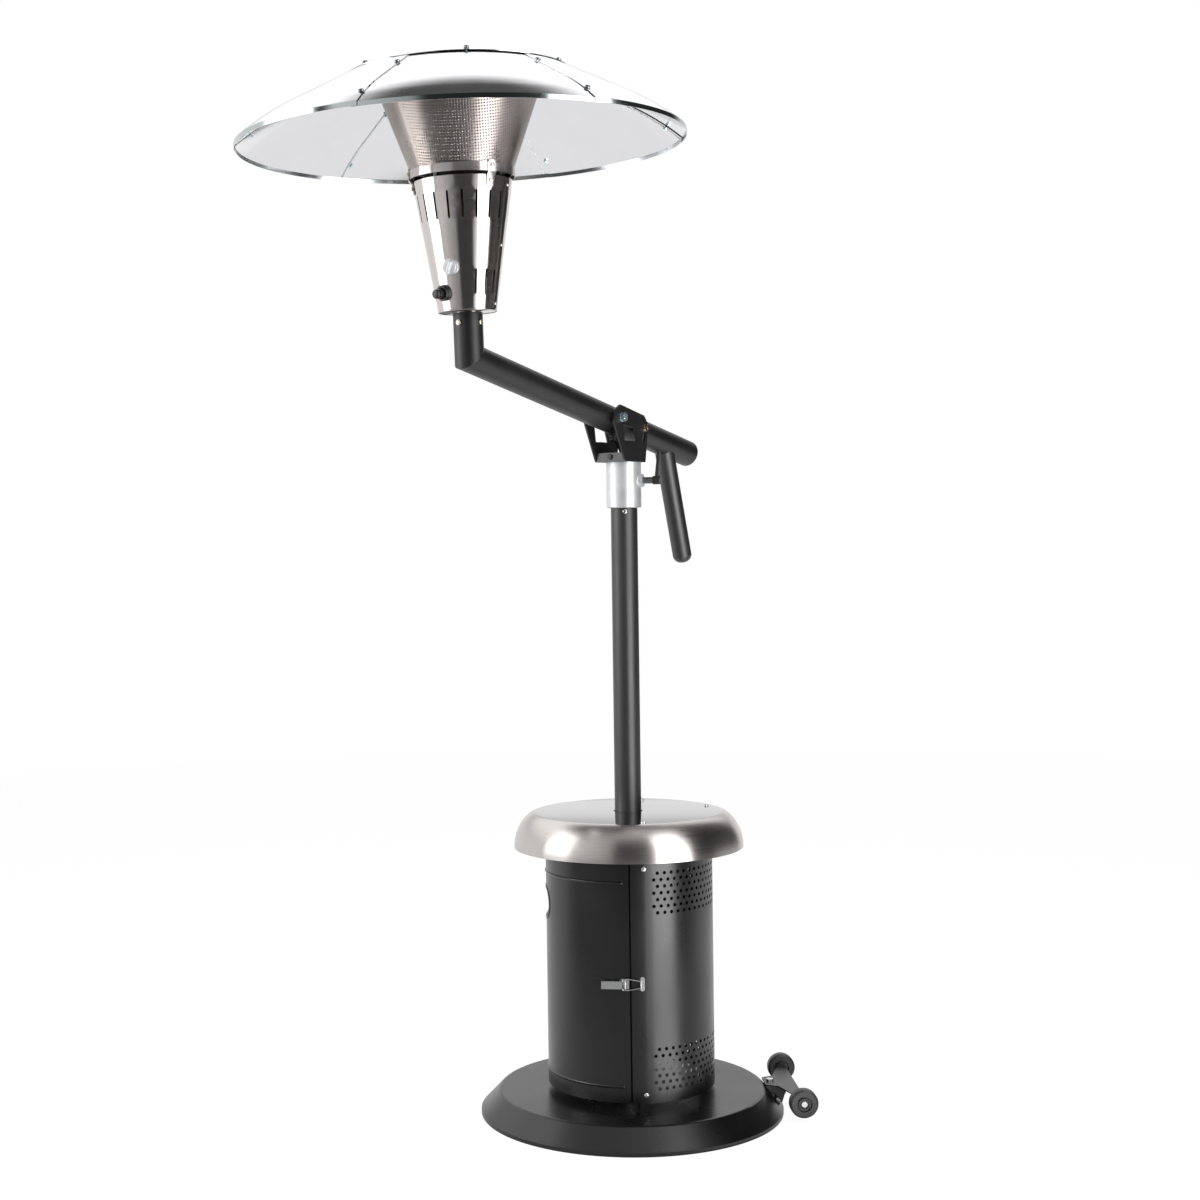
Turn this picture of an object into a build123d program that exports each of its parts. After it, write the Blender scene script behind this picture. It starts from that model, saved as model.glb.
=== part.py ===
"""Offset propane patio heater: a round weighted base with two tipping wheels, a tank
housing with a hinged door, a steel table, a pole with a swivel collar, and a tilting arm
that carries a burner head under a six-petal canopy.

Millimetres, +Z up. The origin is on the floor at the pole's axis. The arm lies in the XZ
plane with the burner head towards -X. Polar angles are measured from +X about +Z.
"""
from build123d import *
from math import asin, atan2, cos, degrees, pi, radians, sin, sqrt, tan
import os

os.makedirs("parts", exist_ok=True)

# Clearances and stock
face_gap = 0.3            # between faces of neighbouring pieces
running_gap = 0.05        # radial, shaft in bore
sheet = 1.5               # painted steel sheet
thin_sheet = 1.0          # stainless and aluminium sheet
tube_d = 57.0             # pole, arm and neck
tube_wall = 2.0

# Base
base_r = 325.0
base_flat_r = 284.0
base_h = 50.0
base_rim_h = 11.0
base_sheet = 2.0
base_slope_mid_r = 311.0
ballast_h = 6.5

# Tank housing
housing_r = 179.0
housing_z = 63.0
housing_h = 504.0
view_angle = -147.0       # polar angle that the front seam faces
seam_gap = 3.5
door_arc = 180.0
door_clearance = 2.5      # under and over the door
bead_r = 3.5
bead_inset = 46.0         # bead from the door's end
hem_rise = 0.1             # door's hemmed edges stand this much proud
bead_end_angle = 5.5      # bead's end from the seam
grip_w = 108.0
grip_h = 62.0
grip_drop = 113.0         # grip hole's centre below the housing's top
grip_rim = 5.0

# Hinges and latch
hinge_low_z = 136.0
hinge_axis_r = 184.5
hinge_len = 42.0
hinge_pin_r = 2.0
knuckle_r = 4.5
leaf_t = 1.5
leaf_angle = 6.5
latch_z = 312.0
latch_turn = 3.5          # latch pin from the front seam
latch_w = 16.0
latch_len = 52.0
latch_pin_lift = 7.0
latch_pin_r = 1.3
latch_ear_r = 2.7
latch_web_gap = 6.0       # the lever's web stops this far short of its pin
bail_shift = -5.0
bail_lift = 6.0
bail_r = 1.3
bail_half_w = 11.5
bail_end_half_w = 7.0
bail_reach = 32.5
bail_end_lift = 4.0
strike_reach = 35.2       # strike's middle from the latch pin
strike_w = 10.0
strike_h = 30.0
strike_lip = 4.8

# Housing perforations
hole_d = 7.2              # across flats, eight-sided so that the mesh stays light
hole_rows = 7
hole_row_pitch = 13.7
hole_column_angle = 5.08
hole_columns = 29
hole_field_inset = 27.0   # outer row from the housing's end

# Uprights
post_turns = (9.5, 112.0, 170.5)   # from the front seam
post_w = 26.0
post_depth = 12.0
post_tab = 26.0
foot_r = 151.0
foot_bolt_d = 8.0
screw_d = 5.0
screw_head_d = 10.0
shell_screw_heights = (81.0, 550.0)

# Table
table_z = 646.0
table_flat_r = 198.0
table_r = 246.0
table_drop = 75.0
table_shoulder = 48.0
table_tuck = 2.5
table_hole_gap = 2.75     # around the pole
table_sheet = 1.2
table_screw_r = 184.0

# Pole and its carrier
carrier_z = 622.0
carrier_t = 4.0
socket_depth = 62.0
socket_wall = 4.0
socket_floor = 3.0
pole_top = 1297.0
pole_screw_drop = 8.0     # below the pole's top
pole_screw_angle = -144.0

# Swivel collar
collar_r = 37.5
collar_h = 96.0
washer_t = 1.5
spindle_r = 22.0
spindle_bore_r = 12.0
spindle_seat = 70.0
bush_wall = 4.0
bush_len = 18.0
clamp_angle = -71.0
clamp_drop = 39.5         # below the collar's top
clamp_screw_r = 4.0
clamp_hub_r = 7.0
clamp_reach = 78.0
clamp_lever_len = 84.0
boss_r = 14.0
boss_reach = 43.0

# Yoke
arm_lift = 177.0          # arm's axis above the pole's top, at the pole's axis
arm_rise = 11.0           # arm's slope at rest, degrees
pivot_t = 63.0            # pivot bolt ahead of the pole's axis
lock_t = -29.0            # lock bolt behind it
tilt_range = 17.0
yoke_w = 77.0
ear_t = 4.0
yoke_front_t = 52.0
yoke_rear_t = -28.0
yoke_flange_h = 19.0
yoke_bolt_angles = (60.0, 180.0, 300.0)
yoke_bolt_r = 32.2
yoke_bolt_lift = 10.5     # above the collar's top
ear_outline = ((-94, 4), (-89, 27), (-69, 39), (25, 20), (40, 3))   # from the arm's height
ear_window = ((-58, -3), (-16, -8), (-5, -36), (-53, -36))
lip_depth = 7.0
pivot_bolt_d = 10.0
lock_bolt_d = 8.0
slot_play = 0.5

# Arm
arm_front = 535.0         # elbow, measured level from the pole's axis
arm_rear = 262.0
neck_len = 84.0
handle_d = 42.4
handle_angle = 17.0       # from vertical
handle_reach = 276.0      # from the arm's axis to the handle's tip
handle_t = -162.0
cap_bulge = 9.0
hose_sink = 14.0          # hose below the arm's axis, clear of the pivot bolt
bolt_washer_t = 1.6
neck_screw_z = 65.0
neck_screw_angles = (0.0, 90.0, 180.0, 270.0)

# Head, heights along the neck's axis from the elbow
head_lean = 2.3           # the head leans out by this much at rest
cone_low = 86.0
cone_high = 330.0
cone_low_r = 55.6
cone_high_r = 94.4
slot_count = 20
slot_w = 4.2
upper_slot_z = 278.0
upper_slot_len = 51.0
lower_slot_z = 137.0
lower_slot_len = 47.0
panel_half_angle = 50.0   # no lower slots in front of the controls
flange_angle = -79.0
flange_w = 11.0
flange_t = 1.6
flange_in = 14.0          # top flange turned inwards
rivet_heights = (98.0, 206.0, 316.0)
rivet_r = 1.5
pan_t = 2.0
spigot_len = 44.0
knob_angle = -166.0
knob_z = 165.0
knob_d = 31.0
knob_t = 15.0
knob_gap = 2.0
knob_stem_r = 4.0
valve_r = 11.0
valve_len = 56.0
valve_inlet_z = 132.0
igniter_angle = 175.0
igniter_z = 119.0
igniter_d = 24.0
button_travel = 5.0
button_r = 6.0
barrel_r = 9.0
barrel_len = 36.0
electrode_r = 75.0
electrode_d = 6.0
ring_low = 336.0
ring_high = 352.0
ring_r = 100.5
tab_w = 13.0
tab_t = 1.4
tab_lift = 0.7            # clear of the burner housing
tab_low = 308.0
tab_high = 357.0
tab_low_screw = 320.0
tab_high_screw = 347.0
tab_screw_r = 2.0
tab_angles = (-109.0, 11.0, 131.0)
emitter_low = 341.0
emitter_high = 505.0
emitter_low_r = 94.4
emitter_high_r = 155.0
emitter_seam_angle = 163.0
burner_r = 70.0
burner_h = 30.0

# Canopy
canopy_r = 425.0
petal_break_r = 340.0     # from here inwards the petals are straight
petal_slope = 27.0
petal_break_z = 461.0     # along the neck's axis
petal_arc_r = 492.0
petal_t = 1.2
petal_count = 6
petal_seam_angle = 12.0
petal_lap_angle = 1.6
petal_inner_r = 192.0
petal_step_out = 1.4      # each upper petal sits this much further out
petal_step_up = 0.9
rim_lip = 8.0
cap_r = 215.0
cap_flat_r = 191.0
cap_rise = 3.5
cap_over_petals = 1.95
cap_screw_r = 204.0
seam_screw_r = (255.0, 396.0)
stud_r = 120.0
stud_angles = (60.0, 180.0, 300.0)
stud_body_r = 6.0
stud_thread_r = 3.0

# Wheels
wheel_angle = -52.0
wheel_reach = 348.0
wheel_z = 44.0
wheel_d = 60.0
wheel_w = 22.0
wheel_track = 274.0
bracket_w = 224.0
bracket_neck = 80.0
axle_d = 8.0
bracket_sheet = 2.5
bracket_bolt_r = 300.0
bracket_foot_spread = 43.0

# Gas way
hose_d = 13.0
hose_play = 0.5
hose_entry_t = 36.0

# Derived sizes
tube_r = tube_d / 2
bore_r = tube_r - tube_wall
housing_in_r = housing_r - sheet
housing_top = housing_z + housing_h
hinge_angle = view_angle - door_arc
seam_half = degrees(seam_gap / 2 / housing_r)
slope = tan(radians(arm_rise))
collar_z = pole_top + washer_t
collar_top = collar_z + collar_h
ear_in = yoke_w / 2 - ear_t
arm_z = pole_top + arm_lift
clamp_z = collar_top - clamp_drop
pole_screw_z = pole_top - pole_screw_drop


def polar(angle, radius):
    """Level offset of a point at this polar angle and radius."""
    return radius * cos(radians(angle)), radius * sin(radians(angle))


def section_plane(frame, angle):
    """Half-plane through the frame's axis: local x runs outwards, local y along the axis."""
    c, s = polar(angle, 1.0)
    return Plane(
        origin=frame.origin,
        x_dir=frame.x_dir * c + frame.y_dir * s,
        z_dir=frame.x_dir * s - frame.y_dir * c,
    )


def outward_plane(frame, angle, radius, height, nod=0.0):
    """Plane that faces away from the frame's axis: local y runs up, nod tips it down."""
    c, s = polar(angle, 1.0)
    outward = frame.x_dir * c + frame.y_dir * s
    along = frame.y_dir * c - frame.x_dir * s
    facing = outward * cos(radians(nod)) - frame.z_dir * sin(radians(nod))
    x, y = polar(angle, radius)
    return Plane(origin=frame.from_local_coords(Vector(x, y, height)), x_dir=along, z_dir=facing)


def level_plane(frame, angle, radius, height):
    """Plane square to the frame's axis with local x running outwards."""
    c, s = polar(angle, 1.0)
    x, y = polar(angle, radius)
    return Plane(
        origin=frame.from_local_coords(Vector(x, y, height)),
        x_dir=frame.x_dir * c + frame.y_dir * s,
        z_dir=frame.z_dir,
    )


def arm_point(t, lift=0.0):
    """Point of the arm's axis at this level distance ahead of the pole."""
    return Vector(-t, 0, arm_z + t * slope + lift)


def drill(place, size, depth, both=False):
    """Cut a clearance hole for a shank of this size inwards from the plane."""
    with Locations(place):
        hole_align = mid_face if both else under_face
        Cylinder(size / 2 + face_gap, 2 * depth if both else depth, align=hole_align, mode=Mode.SUBTRACT)


def pan_screw(place, size, reach):
    """Add a screw driven inwards, its head resting on the plane."""
    with Locations(place):
        Cylinder(size, size / 2, align=on_face)
        Cylinder(size / 2, reach, align=under_face)


def hex_bolt(place, size, reach):
    """Add a hexagon bolt driven inwards, its head resting on the plane."""
    with BuildSketch(place) as hexagon:
        RegularPolygon(0.85 * size, 6, major_radius=False)
    extrude(hexagon.sketch, amount=0.6 * size)
    with Locations(place):
        Cylinder(size / 2, reach, align=under_face)


def rod(start, end, radius):
    """Add a round bar with rounded ends between two points."""
    start, end = Vector(start), Vector(end)
    with Locations(Plane(origin=start, z_dir=end - start)):
        Cylinder(radius, (end - start).length, align=on_face)
    with Locations(start, end):
        Sphere(radius)


def slope_plane(side, spread):
    """Plane on the base's slope at one side of the wheel bracket."""
    angle = wheel_angle + side * degrees(spread / base_slope_mid_r)
    fall = (base_h - base_rim_h) / (base_r - 3 - base_flat_r)
    height = base_h - (base_slope_mid_r - base_flat_r) * fall
    return outward_plane(ground, angle, base_slope_mid_r, height, nod=degrees(atan2(fall, 1)) - 90)


def save(part, name):
    part.label = name
    export_step(part, f"parts/{name}.step")


on_face = (Align.CENTER, Align.CENTER, Align.MIN)
under_face = (Align.CENTER, Align.CENTER, Align.MAX)
mid_face = (Align.CENTER, Align.CENTER, Align.CENTER)
ground = Plane.XY
arm_dir = Vector(-cos(radians(arm_rise)), 0, sin(radians(arm_rise)))
head_up = Vector(-sin(radians(head_lean)), 0, cos(radians(head_lean)))
elbow = arm_point(arm_front)
head = Plane(origin=elbow, x_dir=(head_up.Z, 0, -head_up.X), z_dir=head_up)
head_axis = Axis(elbow, head_up)
arm_start = Plane(origin=arm_point(0), x_dir=(0, 1, 0), z_dir=arm_dir)
arm_len_front = arm_front / cos(radians(arm_rise))
pivot = arm_point(pivot_t)
lock = arm_point(lock_t)

# Base cover: one pressed dish
with BuildPart() as base_cover:
    with BuildSketch(Plane.XZ):
        with BuildLine():
            Polyline(
                (0, 0),
                (base_r, 0),
                (base_r, base_rim_h - 3),
                (base_r - 3, base_rim_h),
                (base_flat_r, base_h),
                (0, base_h),
                close=True,
            )
        make_face()
    revolve(axis=Axis.Z)
    fillet(base_cover.edges().filter_by(GeomType.CIRCLE).group_by(Axis.Z)[-1], 8)
    offset(amount=-base_sheet, openings=base_cover.faces().sort_by(Axis.Z)[0])
    for turn in post_turns:
        drill(level_plane(ground, view_angle + turn, foot_r, base_h), foot_bolt_d, 3 * base_sheet)
    drill(level_plane(ground, wheel_angle, bracket_bolt_r, base_h), foot_bolt_d, base_h - 10)
    for side in (-1, 1):
        drill(slope_plane(side, bracket_foot_spread), screw_d, 6 * base_sheet)
save(base_cover.part, "base_cover")

# Ballast plate under the cover
with BuildPart() as ballast_plate:
    Cylinder(base_r - base_sheet - face_gap, ballast_h, align=on_face)
    for turn in post_turns:
        drill(level_plane(ground, view_angle + turn, foot_r, ballast_h), foot_bolt_d, ballast_h - 2)
save(ballast_plate.part, "ballast_plate")

# Uprights: channels with a foot and a shelf turned in and a tab turned out under the table
post_top = table_z - table_sheet
post_r = sqrt((housing_in_r - face_gap) ** 2 - (post_w / 2) ** 2)
with BuildPart() as support_posts:
    for turn in post_turns:
        stand = level_plane(ground, view_angle + turn, post_r, base_h)
        with BuildSketch(stand):
            with Locations((-post_depth / 2, 0)):
                Rectangle(post_depth, post_w)
            with Locations((-post_depth / 2 - sheet, 0)):
                Rectangle(post_depth, post_w - 2 * sheet, mode=Mode.SUBTRACT)
        extrude(amount=post_top - base_h)
        for level in (0, carrier_z - sheet - base_h):
            with BuildSketch(stand.offset(level)):
                with Locations((-(post_depth + post_tab) / 2, 0)):
                    Rectangle(post_depth + post_tab, post_w - face_gap)
            extrude(amount=sheet)
        with BuildSketch(stand.offset(post_top - base_h)):
            with Locations(((table_screw_r - post_r + screw_head_d - post_depth) / 2, 0)):
                Rectangle(table_screw_r - post_r + screw_head_d + post_depth, post_w)
        extrude(amount=-sheet)
    for turn in post_turns:
        angle = view_angle + turn
        drill(level_plane(ground, angle, foot_r, base_h), foot_bolt_d, 4, both=True)
        drill(level_plane(ground, angle, foot_r, carrier_z), screw_d, 4, both=True)
        drill(level_plane(ground, angle, table_screw_r, post_top), screw_d, 4, both=True)
        for height in shell_screw_heights:
            drill(outward_plane(ground, angle, housing_r, height), screw_d, 8)
save(support_posts.part, "support_posts")

# Carrier plate between the uprights
with BuildPart() as carrier_plate:
    with Locations((0, 0, carrier_z)):
        Cylinder(post_r - post_depth - 1, carrier_t, align=on_face)
        Cylinder(tube_r + face_gap, 3 * carrier_t, mode=Mode.SUBTRACT)
    for turn in post_turns:
        drill(level_plane(ground, view_angle + turn, foot_r, carrier_z), screw_d, 6, both=True)
save(carrier_plate.part, "carrier_plate")

# Socket that the pole stands in, welded under the carrier plate
with BuildPart() as pole_socket:
    with Locations((0, 0, carrier_z)):
        Cylinder(tube_r + face_gap + socket_wall, socket_depth, align=under_face)
    with Locations((0, 0, carrier_z - socket_depth + socket_floor)):
        Cylinder(tube_r + face_gap, socket_depth, align=on_face, mode=Mode.SUBTRACT)
        Cylinder(hose_d / 2 + hose_play, 4 * socket_floor, mode=Mode.SUBTRACT)
save(pole_socket.part, "pole_socket")

# Table: one spinning with a rounded shoulder
with BuildPart() as table_top:
    with BuildSketch(Plane.XZ):
        with BuildLine():
            rim_low = (table_r - table_tuck, table_z - table_drop)
            Line((tube_r + table_hole_gap, table_z), (table_flat_r, table_z))
            RadiusArc((table_flat_r, table_z), (table_r, table_z - table_shoulder), table_shoulder)
            Line((table_r, table_z - table_shoulder), rim_low)
            Line(rim_low, (rim_low[0] - table_sheet, rim_low[1]))
            Line(
                (rim_low[0] - table_sheet, rim_low[1]),
                (table_r - table_sheet, table_z - table_shoulder),
            )
            RadiusArc(
                (table_flat_r, table_z - table_sheet),
                (table_r - table_sheet, table_z - table_shoulder),
                table_shoulder - table_sheet,
            )
            Line((table_flat_r, table_z - table_sheet), (tube_r + table_hole_gap, post_top))
            Line((tube_r + table_hole_gap, post_top), (tube_r + table_hole_gap, table_z))
        make_face()
    revolve(axis=Axis.Z)
    for turn in post_turns:
        place = level_plane(ground, view_angle + turn, table_screw_r, table_z)
        drill(place, screw_d, 3 * table_sheet)
save(table_top.part, "table_top")

# Pole
pole_foot = carrier_z - socket_depth + socket_floor
with BuildPart() as lower_pole:
    with Locations((0, 0, pole_foot)):
        Cylinder(tube_r, pole_top - pole_foot, align=on_face)
        Cylinder(bore_r, pole_top - pole_foot, align=on_face, mode=Mode.SUBTRACT)
    drill(outward_plane(ground, pole_screw_angle, tube_r, pole_screw_z), screw_d, 8)
save(lower_pole.part, "lower_pole")

# Spindle in the top of the pole, which the collar turns on
with BuildPart() as swivel_spindle:
    with Locations((0, 0, pole_top)):
        Cylinder(bore_r - face_gap, spindle_seat, align=under_face)
        Cylinder(spindle_r, collar_h + washer_t - 6, align=on_face)
    Cylinder(spindle_bore_r, 4 * pole_top, mode=Mode.SUBTRACT)
    drill(outward_plane(ground, pole_screw_angle, tube_r, pole_screw_z), screw_d, 16)
save(swivel_spindle.part, "swivel_spindle")

# Screws in the table, housing, carrier plate and pole
with BuildPart() as body_screws:
    for turn in post_turns:
        angle = view_angle + turn
        pan_screw(level_plane(ground, angle, table_screw_r, table_z), screw_d, 8)
        pan_screw(level_plane(ground, angle, foot_r, carrier_z + carrier_t), screw_d, 12)
        for height in shell_screw_heights:
            pan_screw(outward_plane(ground, angle, housing_r + face_gap, height), screw_d, 6)
    pan_screw(outward_plane(ground, pole_screw_angle, tube_r + face_gap, pole_screw_z), screw_d, 10)
save(body_screws.part, "body_screws")

# Hex bolts in the feet of the uprights and in the wheel bracket
with BuildPart() as base_bolts:
    for turn in post_turns:
        place = level_plane(ground, view_angle + turn, foot_r, base_h + sheet)
        hex_bolt(place, foot_bolt_d, base_h + sheet - 3)
    place = level_plane(ground, wheel_angle, bracket_bolt_r, base_h + bracket_sheet)
    hex_bolt(place, foot_bolt_d, base_h - 16)
    for side in (-1, 1):
        place = slope_plane(side, bracket_foot_spread).offset(face_gap + bracket_sheet)
        hex_bolt(place, screw_d, 8)
save(base_bolts.part, "base_bolts")

# Fixed half of the housing, with two fields of staggered holes
hole_places = []
for field_end, down in ((housing_top - hole_field_inset, 1), (housing_z + hole_field_inset + 2, -1)):
    for row in range(hole_rows):
        in_row = hole_columns + row % 2
        for column in range(in_row):
            angle = view_angle + (360 - door_arc) / 2 + (column - (in_row - 1) / 2) * hole_column_angle
            height = field_end - down * row * hole_row_pitch
            hole_places.append(outward_plane(ground, angle, housing_in_r - sheet, height))
with BuildPart() as housing_shell:
    with BuildSketch(section_plane(ground, view_angle + seam_half)):
        with Locations((housing_r - sheet / 2, housing_z + housing_h / 2)):
            Rectangle(sheet, housing_h)
    revolve(axis=Axis.Z, revolution_arc=360 - door_arc - 2 * seam_half)
    with BuildSketch(*hole_places) as holes:
        RegularPolygon(hole_d / 2, 8, major_radius=False)
    extrude(holes.sketch, amount=3 * sheet + 1, mode=Mode.SUBTRACT)
    for turn in post_turns:
        for height in shell_screw_heights:
            drill(outward_plane(ground, view_angle + turn, housing_r, height), screw_d, 8)
save(housing_shell.part, "housing_shell")

# Door: the other half, with two pressed beads that stop short of its hemmed edges, and a grip hole
door_mid = view_angle - door_arc / 2
door_start, door_stop = hinge_angle + seam_half, view_angle - seam_half
bead_start, bead_stop = hinge_angle + bead_end_angle, view_angle - bead_end_angle
bead_z = (housing_z + bead_inset - 11, housing_top - bead_inset)
door_middle = (housing_r - sheet / 2, housing_z + housing_h / 2)
with BuildPart() as housing_door:
    with BuildSketch(section_plane(ground, bead_start)):
        with Locations(door_middle):
            Rectangle(sheet, housing_h - 2 * door_clearance)
        for height in bead_z:
            with Locations((housing_in_r, height)):
                Circle(bead_r)
        with Locations((housing_in_r / 2, housing_z + housing_h / 2)):
            Rectangle(housing_in_r, housing_h, mode=Mode.SUBTRACT)
        for height in bead_z:
            with Locations((housing_in_r, height)):
                Circle(bead_r - sheet, mode=Mode.SUBTRACT)
    revolve(axis=Axis.Z, revolution_arc=bead_stop - bead_start)
    grip_place = outward_plane(ground, door_mid, housing_r - 30, housing_top - grip_drop)
    with BuildPart(mode=Mode.PRIVATE) as grip_rim_ring:
        with BuildSketch(grip_place):
            SlotOverall(grip_w + 2 * grip_rim, grip_h + 2 * grip_rim)
        extrude(amount=60)
        Cylinder(housing_r + 1.2, 4 * housing_top, mode=Mode.INTERSECT)
        Cylinder(housing_in_r, 4 * housing_top, mode=Mode.SUBTRACT)
    add(grip_rim_ring.part)
    with BuildSketch(grip_place):
        SlotOverall(grip_w, grip_h)
    extrude(amount=60, mode=Mode.SUBTRACT)
    for start, stop in ((door_start, bead_start), (bead_stop, door_stop)):
        with BuildSketch(section_plane(ground, start)):
            with Locations((door_middle[0] + hem_rise, door_middle[1])):
                Rectangle(sheet, housing_h - 2 * door_clearance)
        revolve(axis=Axis.Z, revolution_arc=stop - start)
    for angle in (bead_start, bead_stop):
        for height in bead_z:
            with BuildPart(mode=Mode.PRIVATE) as bead_end:
                with Locations(level_plane(ground, angle, housing_in_r, height)):
                    Sphere(bead_r)
                Cylinder(housing_in_r + sheet / 2, 4 * housing_top, mode=Mode.SUBTRACT)
            add(bead_end.part)
            with Locations(level_plane(ground, angle, housing_in_r, height)):
                Sphere(bead_r - sheet, mode=Mode.SUBTRACT)
save(housing_door.part, "housing_door")

# Rear hinges of the door
hinge_z = (hinge_low_z, housing_z + housing_top - hinge_low_z)
leaf_in_r = housing_r + face_gap
hinge_gap_angle = degrees(knuckle_r / hinge_axis_r)
with BuildPart() as door_hinges:
    for height in hinge_z:
        with BuildSketch(section_plane(ground, hinge_angle - leaf_angle)):
            with Locations((leaf_in_r + leaf_t / 2, height)):
                Rectangle(leaf_t, hinge_len)
        revolve(axis=Axis.Z, revolution_arc=leaf_angle - hinge_gap_angle)
        with Locations(level_plane(ground, hinge_angle, hinge_axis_r, height)):
            for shift in (-hinge_len / 3, hinge_len / 3):
                with Locations((0, 0, shift)):
                    Cylinder(knuckle_r, hinge_len / 3)
                    with Locations((leaf_t / 2 - knuckle_r, -knuckle_r / 2, 0)):
                        Box(leaf_t, knuckle_r, hinge_len / 3)
            Cylinder(hinge_pin_r, hinge_len)
save(door_hinges.part, "door_hinges")

with BuildPart() as door_leaves:
    for height in hinge_z:
        with BuildSketch(section_plane(ground, hinge_angle + hinge_gap_angle)):
            with Locations((leaf_in_r + leaf_t / 2, height)):
                Rectangle(leaf_t, hinge_len)
        revolve(axis=Axis.Z, revolution_arc=leaf_angle - hinge_gap_angle)
        with Locations(level_plane(ground, hinge_angle, hinge_axis_r, height)):
            Cylinder(knuckle_r, hinge_len / 3 - 2 * face_gap)
            with Locations((leaf_t / 2 - knuckle_r, knuckle_r / 2, 0)):
                Box(leaf_t, knuckle_r, hinge_len / 3 - 2 * face_gap)
            Cylinder(hinge_pin_r + running_gap, hinge_len, mode=Mode.SUBTRACT)
save(door_leaves.part, "door_leaves")

# Toggle latch across the front seam: local x runs towards the fixed half, z outwards
latch_place = outward_plane(ground, view_angle - latch_turn, housing_r, latch_z)
with BuildPart() as latch_base:
    with Locations(latch_place):
        with Locations((-2, 0, face_gap)):
            Box(20, 20, 1.2, align=on_face)
        for side in (-1, 1):
            with Locations((0, side * (latch_w / 2 - 2.8), face_gap)):
                Box(2 * latch_ear_r, 1.4, latch_pin_lift - face_gap, align=on_face)
            with Locations((0, side * (latch_w / 2 - 2.8), latch_pin_lift)):
                Cylinder(latch_ear_r, 1.4, rotation=(90, 0, 0))
    ends = [latch_place.from_local_coords((0, s * (latch_w / 2 + 0.6), latch_pin_lift)) for s in (-1, 1)]
    rod(ends[0], ends[1], latch_pin_r)
save(latch_base.part, "latch_base")

with BuildPart() as latch_lever:
    with Locations(latch_place):
        with Locations((-(latch_len - 3 + latch_web_gap) / 2, 0, latch_pin_lift + 3.8)):
            Box(latch_len - 3 - latch_web_gap, latch_w, 1.2)
        for side in (-1, 1):
            with Locations((-latch_len / 2 + 3, side * (latch_w / 2 - 0.6), latch_pin_lift + 0.4)):
                Box(latch_len, 1.2, 8)
    for place, radius in (((0, 0, latch_pin_lift), latch_pin_r), ((bail_shift, 0, bail_lift), bail_r)):
        middle = latch_place.from_local_coords(place)
        with Locations(Plane(origin=middle, z_dir=latch_place.y_dir)):
            Cylinder(radius + running_gap, 2 * latch_w, mode=Mode.SUBTRACT)
save(latch_lever.part, "latch_lever")

with BuildPart() as latch_bail:
    for side in (-1, 1):
        path = [
            (bail_shift, side * (latch_w / 2 - 0.6), bail_lift),
            (bail_shift, side * bail_half_w, bail_lift),
            (bail_shift + 12, side * bail_half_w, bail_lift),
            (bail_reach, side * bail_end_half_w, bail_end_lift),
            (bail_reach, 0, bail_end_lift),
        ]
        points = [latch_place.from_local_coords(Vector(*p)) for p in path]
        for start, end in zip(points, points[1:]):
            rod(start, end, bail_r)
save(latch_bail.part, "latch_bail")

strike_turn = degrees(strike_reach / housing_r)
strike_place = outward_plane(ground, view_angle - latch_turn + strike_turn, housing_r, latch_z)
with BuildPart() as latch_strike:
    with BuildSketch(strike_place.offset(face_gap)):
        SlotOverall(strike_h, strike_w, rotation=90)
    extrude(amount=1.4)
    with Locations(strike_place):
        with Locations((-strike_w / 2 + 1.1, 0, face_gap)):
            Box(1.4, strike_h - 10, strike_lip, align=on_face)
save(latch_strike.part, "latch_strike")

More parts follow.
